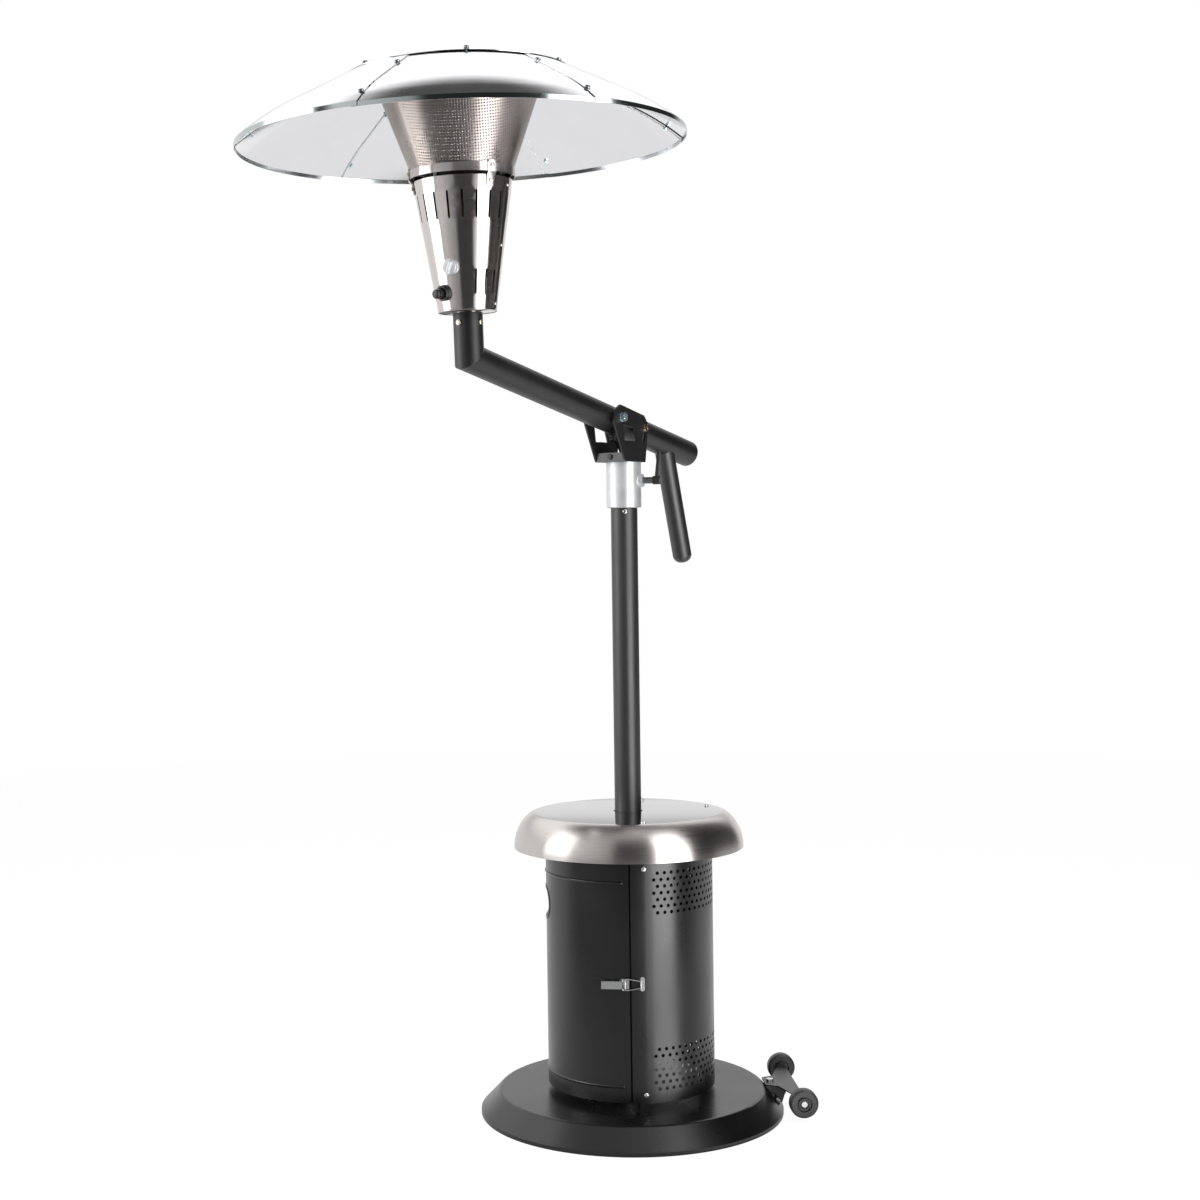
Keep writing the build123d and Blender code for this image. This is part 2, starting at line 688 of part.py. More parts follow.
# Wheel bracket: a web with turned-down sides, feet on the base's slope
wheel_frame = Plane(
    origin=(0, 0, 0), x_dir=(cos(radians(wheel_angle)), sin(radians(wheel_angle)), 0), z_dir=(0, 0, 1)
)
wheel_line = Plane(
    origin=wheel_frame.from_local_coords(Vector(wheel_reach, 0, wheel_z)),
    x_dir=wheel_frame.x_dir,
    z_dir=wheel_frame.y_dir,
)
slope_fall = (base_h - base_rim_h) / (base_r - 3 - base_flat_r)
with BuildPart() as wheel_bracket:
    with BuildSketch(wheel_frame.offset(base_h)):
        with BuildLine():
            Polyline(
                (base_flat_r + 3, -29),
                (base_flat_r + 28, -bracket_neck / 2),
                (wheel_reach - 12, -bracket_w / 2),
                (wheel_reach + 5, -bracket_w / 2),
                (wheel_reach + 5, bracket_w / 2),
                (wheel_reach - 12, bracket_w / 2),
                (base_flat_r + 28, bracket_neck / 2),
                (base_flat_r + 3, 29),
                close=True,
            )
        make_face()
    extrude(amount=bracket_sheet)
    for side in (-1, 1):
        with Locations(wheel_line.offset(side * (bracket_w - bracket_sheet) / 2)):
            with Locations((-3.5, -1.5, 0)):
                Box(17, 2 * (base_h - wheel_z) + 7, bracket_sheet)
        with BuildSketch(Plane(
            origin=wheel_frame.from_local_coords(Vector(0, side * 27.0, 0)),
            x_dir=wheel_frame.x_dir,
            z_dir=-wheel_frame.y_dir,
        )):
            with BuildLine():
                slope_lift = 0.8
                low_r = base_r - 5
                Polyline(
                    (base_flat_r + 4, base_h),
                    (wheel_reach - 18, base_h),
                    (wheel_reach - 20, base_h - 18),
                    (low_r + 2, base_h - (low_r - base_flat_r) * slope_fall + slope_lift),
                    (low_r, base_h - (low_r - base_flat_r) * slope_fall + slope_lift),
                    (base_flat_r + 4, base_h - 4 * slope_fall + slope_lift),
                    close=True,
                )
            make_face()
        extrude(amount=bracket_sheet / 2, both=True)
        with BuildSketch(slope_plane(side, bracket_foot_spread).offset(face_gap)):
            with Locations((-side * 2, 0)):
                RectangleRounded(34, 16, 5)
        extrude(amount=bracket_sheet)
    with BuildSketch(wheel_frame.offset(base_h - 3)):
        with Locations((wheel_reach - 19, 0)):
            Rectangle(bracket_sheet, 2 * 27.0)
    extrude(amount=-15)
    with Locations(wheel_line):
        Cylinder(axle_d / 2 + running_gap, 2 * bracket_w, mode=Mode.SUBTRACT)
    drill(level_plane(ground, wheel_angle, bracket_bolt_r, base_h + bracket_sheet), foot_bolt_d, 6)
    for side in (-1, 1):
        drill(slope_plane(side, bracket_foot_spread), screw_d, 6, both=True)
save(wheel_bracket.part, "wheel_bracket")

# Axle with its spacers and upset ends
axle_half = (wheel_track + wheel_w) / 2
with BuildPart() as wheel_axle:
    with Locations(wheel_line):
        Cylinder(axle_d / 2, 2 * axle_half + 1)
    for side in (-1, 1):
        with Locations(wheel_line.offset(side * (axle_half - 0.2))):
            Cylinder(axle_d * 0.75, 2.4)
        spacer = (wheel_track - wheel_w - bracket_w) / 2 - 2 * face_gap
        with Locations(wheel_line.offset(side * (bracket_w / 2 + face_gap + spacer / 2))):
            Cylinder(axle_d * 0.8, spacer)
save(wheel_axle.part, "wheel_axle")

# Wheels, one moulding each with ring grooves in both faces
def add_wheel(place):
    """Add a wheel round the plane's z axis."""
    half = wheel_w / 2
    bore = axle_d / 2 + running_gap
    outline = [
        (bore, half - 1.8),
        (0.29 * wheel_d / 2, half - 1.8),
        (0.33 * wheel_d / 2, half),
        (0.4 * wheel_d / 2, half),
        (0.42 * wheel_d / 2, half - 5),
        (0.54 * wheel_d / 2, half - 5),
        (0.56 * wheel_d / 2, half),
        (0.86 * wheel_d / 2, half),
        (wheel_d / 2, half - 3),
    ]
    mirrored = [(x, -y) for x, y in reversed(outline)]
    with BuildSketch(section_plane(place, 0)) as profile:
        Polygon(*outline, *mirrored, align=None)
    revolve(profile.sketch, axis=Axis(place.origin, place.z_dir))


with BuildPart() as near_wheel:
    add_wheel(wheel_line.offset(-wheel_track / 2))
save(near_wheel.part, "near_wheel")

with BuildPart() as far_wheel:
    add_wheel(wheel_line.offset(wheel_track / 2))
save(far_wheel.part, "far_wheel")

# Gas regulator under the socket and the hose inside the pole
hose_turn_z = pole_top + collar_h - 20
with BuildPart() as gas_regulator:
    with Locations((0, 0, pole_foot - 2 * socket_floor - 12)):
        Cylinder(27, 16, align=under_face)
        Cylinder(9, 12, align=on_face)
        with Locations((0, 0, -16)):
            Cylinder(12, 4, align=under_face)
save(gas_regulator.part, "gas_regulator")

with BuildPart() as hose_lower:
    with Locations((0, 0, pole_foot - 2 * socket_floor)):
        Cylinder(hose_d / 2, hose_turn_z - pole_foot + 2 * socket_floor - face_gap, align=on_face)
save(hose_lower.part, "hose_lower")

# Collar with the clamp's boss
clamp_place = outward_plane(ground, clamp_angle, 0, clamp_z)
with BuildPart() as swivel_collar:
    with Locations((0, 0, collar_z)):
        Cylinder(collar_r, collar_h, align=on_face)
    with Locations(clamp_place):
        Cylinder(boss_r, boss_reach, align=on_face)
    with Locations((0, 0, collar_z - 1)):
        Cylinder(spindle_r + bush_wall + 2 * face_gap, collar_h + 2, align=on_face, mode=Mode.SUBTRACT)
    with Locations(clamp_place):
        Cylinder(clamp_screw_r + face_gap, 2 * boss_reach, align=on_face, mode=Mode.SUBTRACT)
    for angle in yoke_bolt_angles:
        place = level_plane(ground, angle, yoke_bolt_r, collar_top)
        drill(place, screw_d, 14)
save(swivel_collar.part, "swivel_collar")

with BuildPart() as collar_bushes:
    with Locations((0, 0, collar_z + face_gap)):
        Cylinder(spindle_r + bush_wall, bush_len, align=on_face)
    with Locations((0, 0, pole_top + face_gap)):
        Cylinder(collar_r - 2, washer_t - 2 * face_gap, align=on_face)
    with Locations((0, 0, pole_top + washer_t / 2)):
        Cylinder(spindle_r + bush_wall, washer_t, align=on_face)
    with Locations((0, 0, collar_top - bush_len)):
        Cylinder(spindle_r + bush_wall, bush_len - 6, align=on_face)
    Cylinder(spindle_r + running_gap, 4 * pole_top, mode=Mode.SUBTRACT)
save(collar_bushes.part, "collar_bushes")

with BuildPart() as clamp_screw:
    with Locations(clamp_place.offset(spindle_r + face_gap)):
        Cylinder(clamp_screw_r, boss_reach, align=on_face)
    with Locations(clamp_place.offset(boss_reach + face_gap)):
        Cylinder(clamp_hub_r, clamp_reach - boss_reach - face_gap, align=on_face)
save(clamp_screw.part, "clamp_screw")

with BuildPart() as clamp_lever:
    foot = clamp_place.from_local_coords(Vector(0, clamp_hub_r + 5, clamp_reach - 9))
    tip = clamp_place.from_local_coords(Vector(0, clamp_lever_len, clamp_reach - 5))
    rod(foot, tip, 4.5)
save(clamp_lever.part, "clamp_lever")

# Yoke: base plate, two ears with a window and a slot, and a front flange
slot_r = (lock - pivot).length
with BuildPart() as yoke:
    with BuildSketch(Plane.XY.offset(collar_top)):
        with Locations(((-yoke_front_t - yoke_rear_t) / 2, 0)):
            Rectangle(yoke_front_t - yoke_rear_t, yoke_w)
        Circle(hose_d / 2 + hose_play, mode=Mode.SUBTRACT)
    extrude(amount=ear_t)
    with BuildSketch(Plane.YZ.offset(-yoke_front_t)):
        with Locations((0, collar_top)):
            Rectangle(yoke_w, yoke_flange_h, align=(Align.CENTER, Align.MIN))
    extrude(amount=ear_t)
    for side in (-1, 1):
        with BuildSketch(Plane.XZ.offset(-side * ear_in)):
            with BuildLine():
                Polyline(
                    (-yoke_front_t, collar_top),
                    *[(x, arm_z + lift) for x, lift in ear_outline],
                    (-yoke_rear_t, collar_top),
                    close=True,
                )
            make_face()
            fillet(vertices().filter_by(lambda v: abs(v.Z - collar_top) > 1), 6)
        extrude(amount=-side * ear_t)
    for side in (-1, 1):
        with BuildSketch(Plane.XZ.offset(-side * ear_in)):
            with BuildLine():
                Polyline(*[(x, arm_z + lift) for x, lift in ear_window], close=True)
            make_face()
        extrude(amount=-side * ear_t, mode=Mode.SUBTRACT)
        with BuildSketch(Plane.XZ.offset(-side * ear_in)):
            with Locations((pivot.X, pivot.Z)):
                Circle(pivot_bolt_d / 2 + running_gap)
            with BuildLine(mode=Mode.PRIVATE) as slot_line:
                CenterArc((pivot.X, pivot.Z), slot_r, -arm_rise - tilt_range, tilt_range)
            SlotArc(slot_line.edges()[0], lock_bolt_d + 2 * slot_play)
        extrude(amount=-side * ear_t, mode=Mode.SUBTRACT)
        lip_y = side * (ear_in + ear_t / 2)
        with Locations((-29, lip_y - side * lip_depth / 2, arm_z + ear_window[2][1] - 1.2)):
            Box(32, lip_depth, 2.4)
    for angle in yoke_bolt_angles:
        drill(level_plane(ground, angle, yoke_bolt_r, collar_top), screw_d, 8, both=True)
    drill(Plane(origin=(-yoke_front_t, 0, collar_top + yoke_bolt_lift), z_dir=(-1, 0, 0)), screw_d + 1, 8)
save(yoke.part, "yoke")

with BuildPart() as yoke_bolts:
    for angle in yoke_bolt_angles:
        pan_screw(level_plane(ground, angle, yoke_bolt_r, collar_top + ear_t), screw_d, 16)
    hex_bolt(Plane(origin=(-yoke_front_t, 0, collar_top + yoke_bolt_lift), z_dir=(-1, 0, 0)), screw_d + 1, 9)
save(yoke_bolts.part, "yoke_bolts")

# Free loop of the hose between the collar and the arm
hose_entry_z = arm_point(hose_entry_t).Z - tube_r / cos(radians(arm_rise))
with BuildPart() as hose_middle:
    with BuildLine(Plane.XZ) as hose_path:
        FilletPolyline(
            (0, hose_turn_z),
            (0, collar_top + 14),
            (-hose_entry_t, hose_entry_z - 12),
            (-hose_entry_t, hose_entry_z),
            radius=12,
        )
    with BuildSketch(Plane(origin=(0, 0, hose_turn_z), z_dir=(0, 0, 1))):
        Circle(hose_d / 2)
    sweep(path=hose_path.line)
save(hose_middle.part, "hose_middle")

# Arm tube, mitred at the elbow
arm_back = arm_start.offset(-arm_rear / cos(radians(arm_rise)))
mitre = Plane(origin=elbow, z_dir=arm_dir + head_up)
with BuildPart() as arm_tube:
    with BuildSketch(arm_back):
        Circle(tube_r)
        Circle(bore_r, mode=Mode.SUBTRACT)
    extrude(amount=(arm_rear + arm_front) / cos(radians(arm_rise)) + 2 * tube_d)
    split(bisect_by=mitre, keep=Keep.BOTTOM)
    for centre, size in ((pivot, pivot_bolt_d), (lock, lock_bolt_d)):
        with Locations(Plane(origin=centre, z_dir=(0, 1, 0))):
            Cylinder(size / 2 + running_gap, 2 * tube_d, mode=Mode.SUBTRACT)
    with Locations(Plane(origin=arm_point(hose_entry_t), z_dir=(0, 0, -1))):
        Cylinder(hose_d / 2 + hose_play, tube_d, align=on_face, mode=Mode.SUBTRACT)
save(arm_tube.part, "arm_tube")

# Neck between the elbow and the burner
with BuildPart() as neck_tube:
    with BuildSketch(head.offset(-2 * tube_d)):
        Circle(tube_r)
        Circle(bore_r, mode=Mode.SUBTRACT)
    extrude(amount=2 * tube_d + neck_len)
    split(bisect_by=mitre, keep=Keep.TOP)
    for angle in neck_screw_angles:
        drill(outward_plane(head, angle, tube_r, neck_screw_z), screw_d, 8)
save(neck_tube.part, "neck_tube")

# Cap in the arm's rear end
with BuildPart() as arm_end_cap:
    cap_place = Plane(origin=arm_back.origin, x_dir=(0, 1, 0), z_dir=-arm_dir)
    with BuildSketch(section_plane(cap_place, 0)) as profile:
        with BuildLine():
            dome = (tube_r**2 - (cap_bulge - 2) ** 2) / (2 * (cap_bulge - 2)) + cap_bulge - 2
            Line((0, -14), (bore_r - face_gap, -14))
            Line((bore_r - face_gap, -14), (bore_r - face_gap, 0))
            Line((bore_r - face_gap, 0), (tube_r, 0))
            Line((tube_r, 0), (tube_r, 2))
            RadiusArc((tube_r, 2), (0, cap_bulge), -dome)
            Line((0, cap_bulge), (0, -14))
        make_face()
    revolve(profile.sketch, axis=Axis(cap_place.origin, cap_place.z_dir))
save(arm_end_cap.part, "arm_end_cap")

# Handle welded under the arm, closed by a dome
handle_dir = Vector(sin(radians(handle_angle)), 0, -cos(radians(handle_angle)))
handle_place = Plane(origin=arm_point(handle_t), x_dir=(0, 1, 0), z_dir=handle_dir)
with BuildPart() as handle_tube:
    with Locations(handle_place):
        Cylinder(handle_d / 2, handle_reach, align=on_face)
    fillet(handle_tube.edges().filter_by(GeomType.CIRCLE).sort_by(Axis.Z)[0], handle_d / 2 - 4)
    with Locations(handle_place):
        Cylinder(handle_d / 2 - tube_wall, handle_reach - 20, align=on_face, mode=Mode.SUBTRACT)
    with Locations(arm_start):
        Cylinder(tube_r + 0.1, 3 * arm_rear, mode=Mode.SUBTRACT)
save(handle_tube.part, "handle_tube")

# Nylon spacers between the arm and the ears
with BuildPart() as ear_spacers:
    for centre, size in ((pivot, pivot_bolt_d), (lock, lock_bolt_d)):
        for side in (-1, 1):
            with Locations(Plane(origin=centre, z_dir=(0, side, 0))):
                with Locations((0, 0, ear_in - face_gap)):
                    Cylinder(size, ear_in - bore_r + 6, align=under_face)
                Cylinder(size / 2 + running_gap, 2 * tube_d, mode=Mode.SUBTRACT)
    with Locations(arm_start):
        Cylinder(tube_r + 0.1, 3 * arm_front, mode=Mode.SUBTRACT)
save(ear_spacers.part, "ear_spacers")


def cross_bolt(centre, size):
    """Add a bolt across the yoke with a head, a nut and a washer on each side."""
    outer = yoke_w / 2 + face_gap
    with Locations(Plane(origin=centre, z_dir=(0, 1, 0))):
        Cylinder(size / 2, 2 * outer + 2 * size)
    for side in (-1, 1):
        place = Plane(origin=centre + Vector(0, side * outer, 0), z_dir=(0, side, 0))
        with Locations(place):
            Cylinder(size, bolt_washer_t, align=on_face)
        with BuildSketch(place.offset(bolt_washer_t)) as hexagon:
            RegularPolygon(0.85 * size, 6, major_radius=False)
        extrude(hexagon.sketch, amount=0.7 * size)


with BuildPart() as pivot_bolt:
    cross_bolt(pivot, pivot_bolt_d)
save(pivot_bolt.part, "pivot_bolt")

with BuildPart() as lock_bolt:
    cross_bolt(lock, lock_bolt_d)
save(lock_bolt.part, "lock_bolt")

# Gas hose inside the arm and neck
hose_line_z = arm_point(hose_entry_t).Z - hose_sink / cos(radians(arm_rise))
with BuildPart() as hose_upper:
    bend = elbow - head_up * (hose_sink / sin(radians(90 + arm_rise - head_lean)))
    top = elbow + head_up * (valve_inlet_z - face_gap)
    with BuildLine(Plane.XZ) as hose_path:
        FilletPolyline(
            (-hose_entry_t, hose_entry_z + face_gap),
            (-hose_entry_t, hose_line_z),
            (bend.X, bend.Z),
            (top.X, top.Z),
            radius=13,
        )
    with BuildSketch(Plane(origin=(-hose_entry_t, 0, hose_entry_z + face_gap), z_dir=(0, 0, 1))):
        Circle(hose_d / 2)
    sweep(path=hose_path.line)
save(hose_upper.part, "hose_upper")

# Pan that closes the burner housing, with a spigot in the neck
with BuildPart() as burner_pan:
    with Locations(head.offset(cone_low)):
        Cylinder(cone_low_r - thin_sheet - face_gap, pan_t, align=on_face)
        Cylinder(bore_r - face_gap, spigot_len, align=under_face)
        Cylinder(bore_r - face_gap - tube_wall, 3 * spigot_len, mode=Mode.SUBTRACT)
    for angle in neck_screw_angles:
        drill(outward_plane(head, angle, tube_r, neck_screw_z), screw_d, 8)
save(burner_pan.part, "burner_pan")

# Burner housing: a cone with two rows of slots, a folded seam and a top flange
cone_growth = (cone_high_r - cone_low_r) / (cone_high - cone_low)
cone_nod = degrees(atan2(cone_growth, 1))


def cone_place(angle, height, lift=0.0):
    """Plane on the burner housing's outside at this height."""
    radius = cone_low_r + cone_growth * (height - cone_low)
    return outward_plane(head, angle, radius, height, nod=cone_nod).offset(lift)


with BuildPart() as cone_housing:
    with BuildSketch(section_plane(head, flange_angle + 90)) as profile:
        Polygon(
            (cone_low_r, cone_low),
            (cone_high_r, cone_high),
            (cone_high_r - flange_in, cone_high),
            (cone_high_r - flange_in, cone_high - thin_sheet),
            (cone_high_r - 1.2 * thin_sheet, cone_high - thin_sheet),
            (cone_low_r - thin_sheet, cone_low),
            align=None,
        )
        with Locations((cone_low_r - 0.2, cone_low + 0.6)):
            Circle(1.4)
    revolve(profile.sketch, axis=head_axis)
    seam_mid = (cone_high + cone_low) / 2
    with BuildSketch(cone_place(flange_angle, seam_mid)) as strip:
        Rectangle(flange_w, (cone_high - cone_low - 6) / cos(radians(cone_nod)))
    extrude(strip.sketch, amount=flange_t)
    extrude(strip.sketch, amount=-0.7)
    for k in range(slot_count):
        angle = k * 360 / slot_count
        rows = [(upper_slot_z, upper_slot_len)]
        if abs(angle - 180) > panel_half_angle:
            rows.append((lower_slot_z, lower_slot_len))
        for height, length in rows:
            with BuildSketch(cone_place(angle, height)) as slot:
                SlotOverall(length, slot_w, rotation=90)
            extrude(slot.sketch, amount=5, both=True, mode=Mode.SUBTRACT)
    drill(cone_place(knob_angle, knob_z), 2 * knob_stem_r, 12, both=True)
    drill(cone_place(igniter_angle, igniter_z), 2 * barrel_r, 12, both=True)
    for height in rivet_heights:
        drill(cone_place(flange_angle, height, flange_t), 2 * rivet_r, 6)
    for angle in tab_angles:
        drill(cone_place(angle, tab_low_screw), 2 * tab_screw_r, 6, both=True)
save(cone_housing.part, "cone_housing")

with BuildPart() as cone_rivets:
    for height in rivet_heights:
        with Locations(cone_place(flange_angle, height, flange_t)):
            Cylinder(1.7 * rivet_r, 1, align=on_face)
            Cylinder(rivet_r, flange_t + 2.5, align=under_face)
save(cone_rivets.part, "cone_rivets")

# Ring round the foot of the emitter, on three tabs
with BuildPart() as ring_band:
    with Locations(head.offset(ring_low)):
        Cylinder(ring_r, ring_high - ring_low, align=on_face)
        Cylinder(ring_r - thin_sheet, ring_high, align=on_face, mode=Mode.SUBTRACT)
    for angle in tab_angles:
        drill(outward_plane(head, angle, ring_r, tab_high_screw), 2 * tab_screw_r, 6, both=True)
save(ring_band.part, "ring_band")

tab_in_r = ring_r + face_gap
with BuildPart() as ring_tabs:
    for angle in tab_angles:
        bend_r = cone_high_r + tab_lift - cone_growth * 4
        low_r = cone_high_r + tab_lift - cone_growth * (cone_high - tab_low)
        with BuildSketch(section_plane(head, angle)) as profile:
            Polygon(
                (tab_in_r, tab_high),
                (tab_in_r + tab_t, tab_high),
                (tab_in_r + tab_t, ring_low - 1),
                (bend_r + tab_t, cone_high - 4),
                (low_r + tab_t, tab_low),
                (low_r, tab_low),
                (bend_r, cone_high - 4),
                (tab_in_r, ring_low),
                align=None,
            )
        extrude(profile.sketch, amount=tab_w / 2, both=True)
        drill(outward_plane(head, angle, ring_r + 5, tab_high_screw), 2 * tab_screw_r, 8)
        drill(cone_place(angle, tab_low_screw, 5), 2 * tab_screw_r, 8)
    corners = ring_tabs.edges().filter_by(lambda e: abs(e.length - tab_t) < 0.02)
    fillet(corners.filter_by(lambda e: head.to_local_coords(e.center()).Z > tab_high - 0.5), tab_w / 2 - 0.4)
save(ring_tabs.part, "ring_tabs")

with BuildPart() as head_screws:
    for angle in neck_screw_angles:
        pan_screw(outward_plane(head, angle, tube_r + face_gap, neck_screw_z), screw_d, 6)
    for angle in tab_angles:
        place = outward_plane(head, angle, tab_in_r + tab_t, tab_high_screw)
        pan_screw(place, 2 * tab_screw_r, 4)
        place = cone_place(angle, tab_low_screw, tab_lift + tab_t)
        pan_screw(place, 2 * tab_screw_r, 5)
save(head_screws.part, "head_screws")

# Gas valve with its inlet, and the injector pipe up to the burner
valve_place = cone_place(knob_angle, knob_z)
with BuildPart() as gas_valve:
    with Locations(valve_place.offset(-4)):
        Cylinder(valve_r, valve_len, align=under_face)
    with Locations(head.offset(valve_inlet_z)):
        Cylinder(9, knob_z + 14 - valve_inlet_z, align=on_face)
        Cylinder(5, cone_high + 4 - valve_inlet_z, align=on_face)
    with Locations(valve_place.offset(-3)):
        Cylinder(knob_stem_r + running_gap, 14, align=under_face, mode=Mode.SUBTRACT)
save(gas_valve.part, "gas_valve")

with BuildPart() as control_knob:
    with Locations(valve_place.offset(knob_gap)):
        Cylinder(knob_d / 2, knob_t * 0.45, align=on_face)
        Cylinder(knob_stem_r, knob_gap + 14, align=under_face)
        with Locations((0, 0, knob_t * 0.45)):
            Box(knob_d * 0.24, knob_d * 0.86, knob_t * 0.55, align=on_face)
save(control_knob.part, "control_knob")

# Igniter: a body clamped in the housing and a push button that slides in it
igniter_place = cone_place(igniter_angle, igniter_z)
with BuildPart() as igniter_body:
    with Locations(igniter_place.offset(0.9)):
        Cylinder(igniter_d / 2, 7, align=on_face)
    with Locations(igniter_place.offset(1)):
        Cylinder(barrel_r, barrel_len, align=under_face)
    with Locations(igniter_place.offset(12)):
        Cylinder(button_r + running_gap, 30, align=under_face, mode=Mode.SUBTRACT)
save(igniter_body.part, "igniter_body")

with BuildPart() as igniter_button:
    with Locations(igniter_place.offset(-10)):
        Cylinder(button_r, 38, align=on_face)
    with Locations(igniter_place.offset(8 + button_travel)):
        Cylinder(button_r + 1.2, 6, align=on_face)
    with Locations(igniter_place.offset(22)):
        Cylinder(button_r + 0.9, 5, align=on_face)
save(igniter_button.part, "igniter_button")

# Burner pot on the housing's top flange
with BuildPart() as burner_pot:
    with Locations(head.offset(cone_high)):
        Cylinder(cone_high_r - 4, thin_sheet, align=on_face)
        Cylinder(burner_r, burner_h, align=on_face)
        with Locations((0, 0, -1)):
            Cylinder(burner_r - thin_sheet, burner_h, align=on_face, mode=Mode.SUBTRACT)
    with Locations(head.offset(cone_high + 5)):
        Cylinder(burner_r - 0.5, 1.5, align=on_face)
    drill(level_plane(head, igniter_angle, electrode_r, cone_high), electrode_d, 4, both=True)
save(burner_pot.part, "burner_pot")

with BuildPart() as igniter_electrode:
    with Locations(level_plane(head, igniter_angle, electrode_r, cone_high - 8)):
        Cylinder(electrode_d / 2, 32, align=on_face)
        Cylinder(1, 44, align=on_face)
save(igniter_electrode.part, "igniter_electrode")

# Emitter screen and its top plate
emitter_growth = (emitter_high_r - emitter_low_r) / (emitter_high - emitter_low)
with BuildPart() as emitter_screen:
    with BuildSketch(section_plane(head, emitter_seam_angle)) as profile:
        Polygon(
            (emitter_low_r, emitter_low),
            (emitter_high_r, emitter_high),
            (emitter_high_r - thin_sheet, emitter_high),
            (emitter_low_r - thin_sheet, emitter_low),
            align=None,
        )
    revolve(profile.sketch, axis=head_axis)
save(emitter_screen.part, "emitter_screen")

with BuildPart() as emitter_cap:
    with Locations(head.offset(emitter_high + face_gap)):
        Cylinder(emitter_high_r + 2.5, thin_sheet, align=on_face)
    with Locations(head.offset(emitter_high + face_gap)):
        Cylinder(emitter_high_r + 2.5, 8, align=under_face)
        Cylinder(emitter_high_r + 1.5, 16, align=mid_face, mode=Mode.SUBTRACT)
    with Locations(head.offset(emitter_high + face_gap)):
        Cylinder(emitter_high_r + 2, thin_sheet, align=on_face)
    for angle in stud_angles:
        drill(level_plane(head, angle, stud_r, emitter_high), 2 * stud_thread_r, 6, both=True)
save(emitter_cap.part, "emitter_cap")

# Canopy: six petals, every other one on top, under a centre disc
arc_mid_r = petal_break_r - petal_arc_r * sin(radians(petal_slope))
arc_mid_z = petal_break_z - petal_arc_r * cos(radians(petal_slope))


def petal_height(radius):
    """Height of the lower petals' outside along the head's axis."""
    if radius <= petal_break_r:
        return petal_break_z + (petal_break_r - radius) * tan(radians(petal_slope))
    return arc_mid_z + sqrt(petal_arc_r**2 - (radius - arc_mid_r) ** 2)


def petal_tilt(radius):
    """Slope of the petals at this radius, degrees."""
    if radius <= petal_break_r:
        return petal_slope
    return degrees(asin((radius - arc_mid_r) / petal_arc_r))


def petal_profile(out, up):
    """Cross-section of a petal, moved outwards and up."""
    lean = radians(petal_slope)
    inner_z = petal_height(petal_inner_r) + up
    break_point = (petal_break_r + out, petal_break_z + up)
    rim = (canopy_r + out, petal_height(canopy_r) + up)
    under_break = (break_point[0] - petal_t * sin(lean), break_point[1] - petal_t * cos(lean))
    under_r = rim[0] - petal_t
    under_arc = petal_arc_r - petal_t
    under_z = arc_mid_z + up + sqrt(under_arc**2 - (under_r - arc_mid_r - out) ** 2)
    start = (petal_inner_r + out, inner_z)
    under_start = (start[0] - petal_t * sin(lean), start[1] - petal_t * cos(lean))
    Line(start, break_point)
    RadiusArc(break_point, rim, petal_arc_r)
    Line(rim, (rim[0], rim[1] - rim_lip))
    Line((rim[0], rim[1] - rim_lip), (under_r, rim[1] - rim_lip))
    Line((under_r, rim[1] - rim_lip), (under_r, under_z))
    RadiusArc(under_break, (under_r, under_z), under_arc)
    Line(under_break, under_start)
    Line(under_start, start)


def canopy_place(angle, radius, lift):
    """Plane on the canopy's outside, raised square to it."""
    nod = petal_tilt(radius) - 90
    return outward_plane(head, angle, radius, petal_height(radius), nod=nod).offset(lift)


petal_arc = 360 / petal_count
upper_lift = petal_step_out * sin(radians(petal_slope)) + petal_step_up * cos(radians(petal_slope))
seam_screws = []
for k in range(petal_count):
    step = -1 if k % 2 else 1
    for radius in seam_screw_r:
        seam_screws.append((petal_seam_angle + k * petal_arc - step * petal_lap_angle / 2, radius))
cap_screws = [(petal_seam_angle + (k + 0.5) * petal_arc, cap_screw_r) for k in range(petal_count)]
with BuildPart() as canopy_petals:
    for k in range(petal_count):
        upper = k % 2 == 0
        lap = petal_lap_angle if upper else 0
        start = petal_seam_angle + k * petal_arc - lap
        with BuildSketch(section_plane(head, start)) as profile:
            with BuildLine():
                petal_profile(petal_step_out if upper else 0, petal_step_up if upper else 0)
            make_face()
        revolve(profile.sketch, axis=head_axis, revolution_arc=petal_arc + 2 * lap)
    for angle, radius in seam_screws + cap_screws:
        drill(canopy_place(angle, radius, 6), screw_d, 14)
save(canopy_petals.part, "canopy_petals")

with BuildPart() as canopy_cap:
    edge_z = petal_height(cap_r) + cap_over_petals
    flat_z = petal_height(cap_flat_r) + cap_over_petals
    with BuildSketch(section_plane(head, 0)) as profile:
        Polygon(
            (0, flat_z + cap_rise),
            (cap_flat_r, flat_z),
            (cap_r, edge_z),
            (cap_r, edge_z + petal_t),
            (cap_flat_r, flat_z + petal_t),
            (0, flat_z + cap_rise + petal_t),
            align=None,
        )
    revolve(profile.sketch, axis=head_axis)
    for angle, radius in cap_screws:
        drill(canopy_place(angle, radius, 6), screw_d, 14)
    for angle in stud_angles:
        drill(level_plane(head, angle, stud_r, flat_z + 12), 2 * stud_thread_r, 20)
save(canopy_cap.part, "canopy_cap")

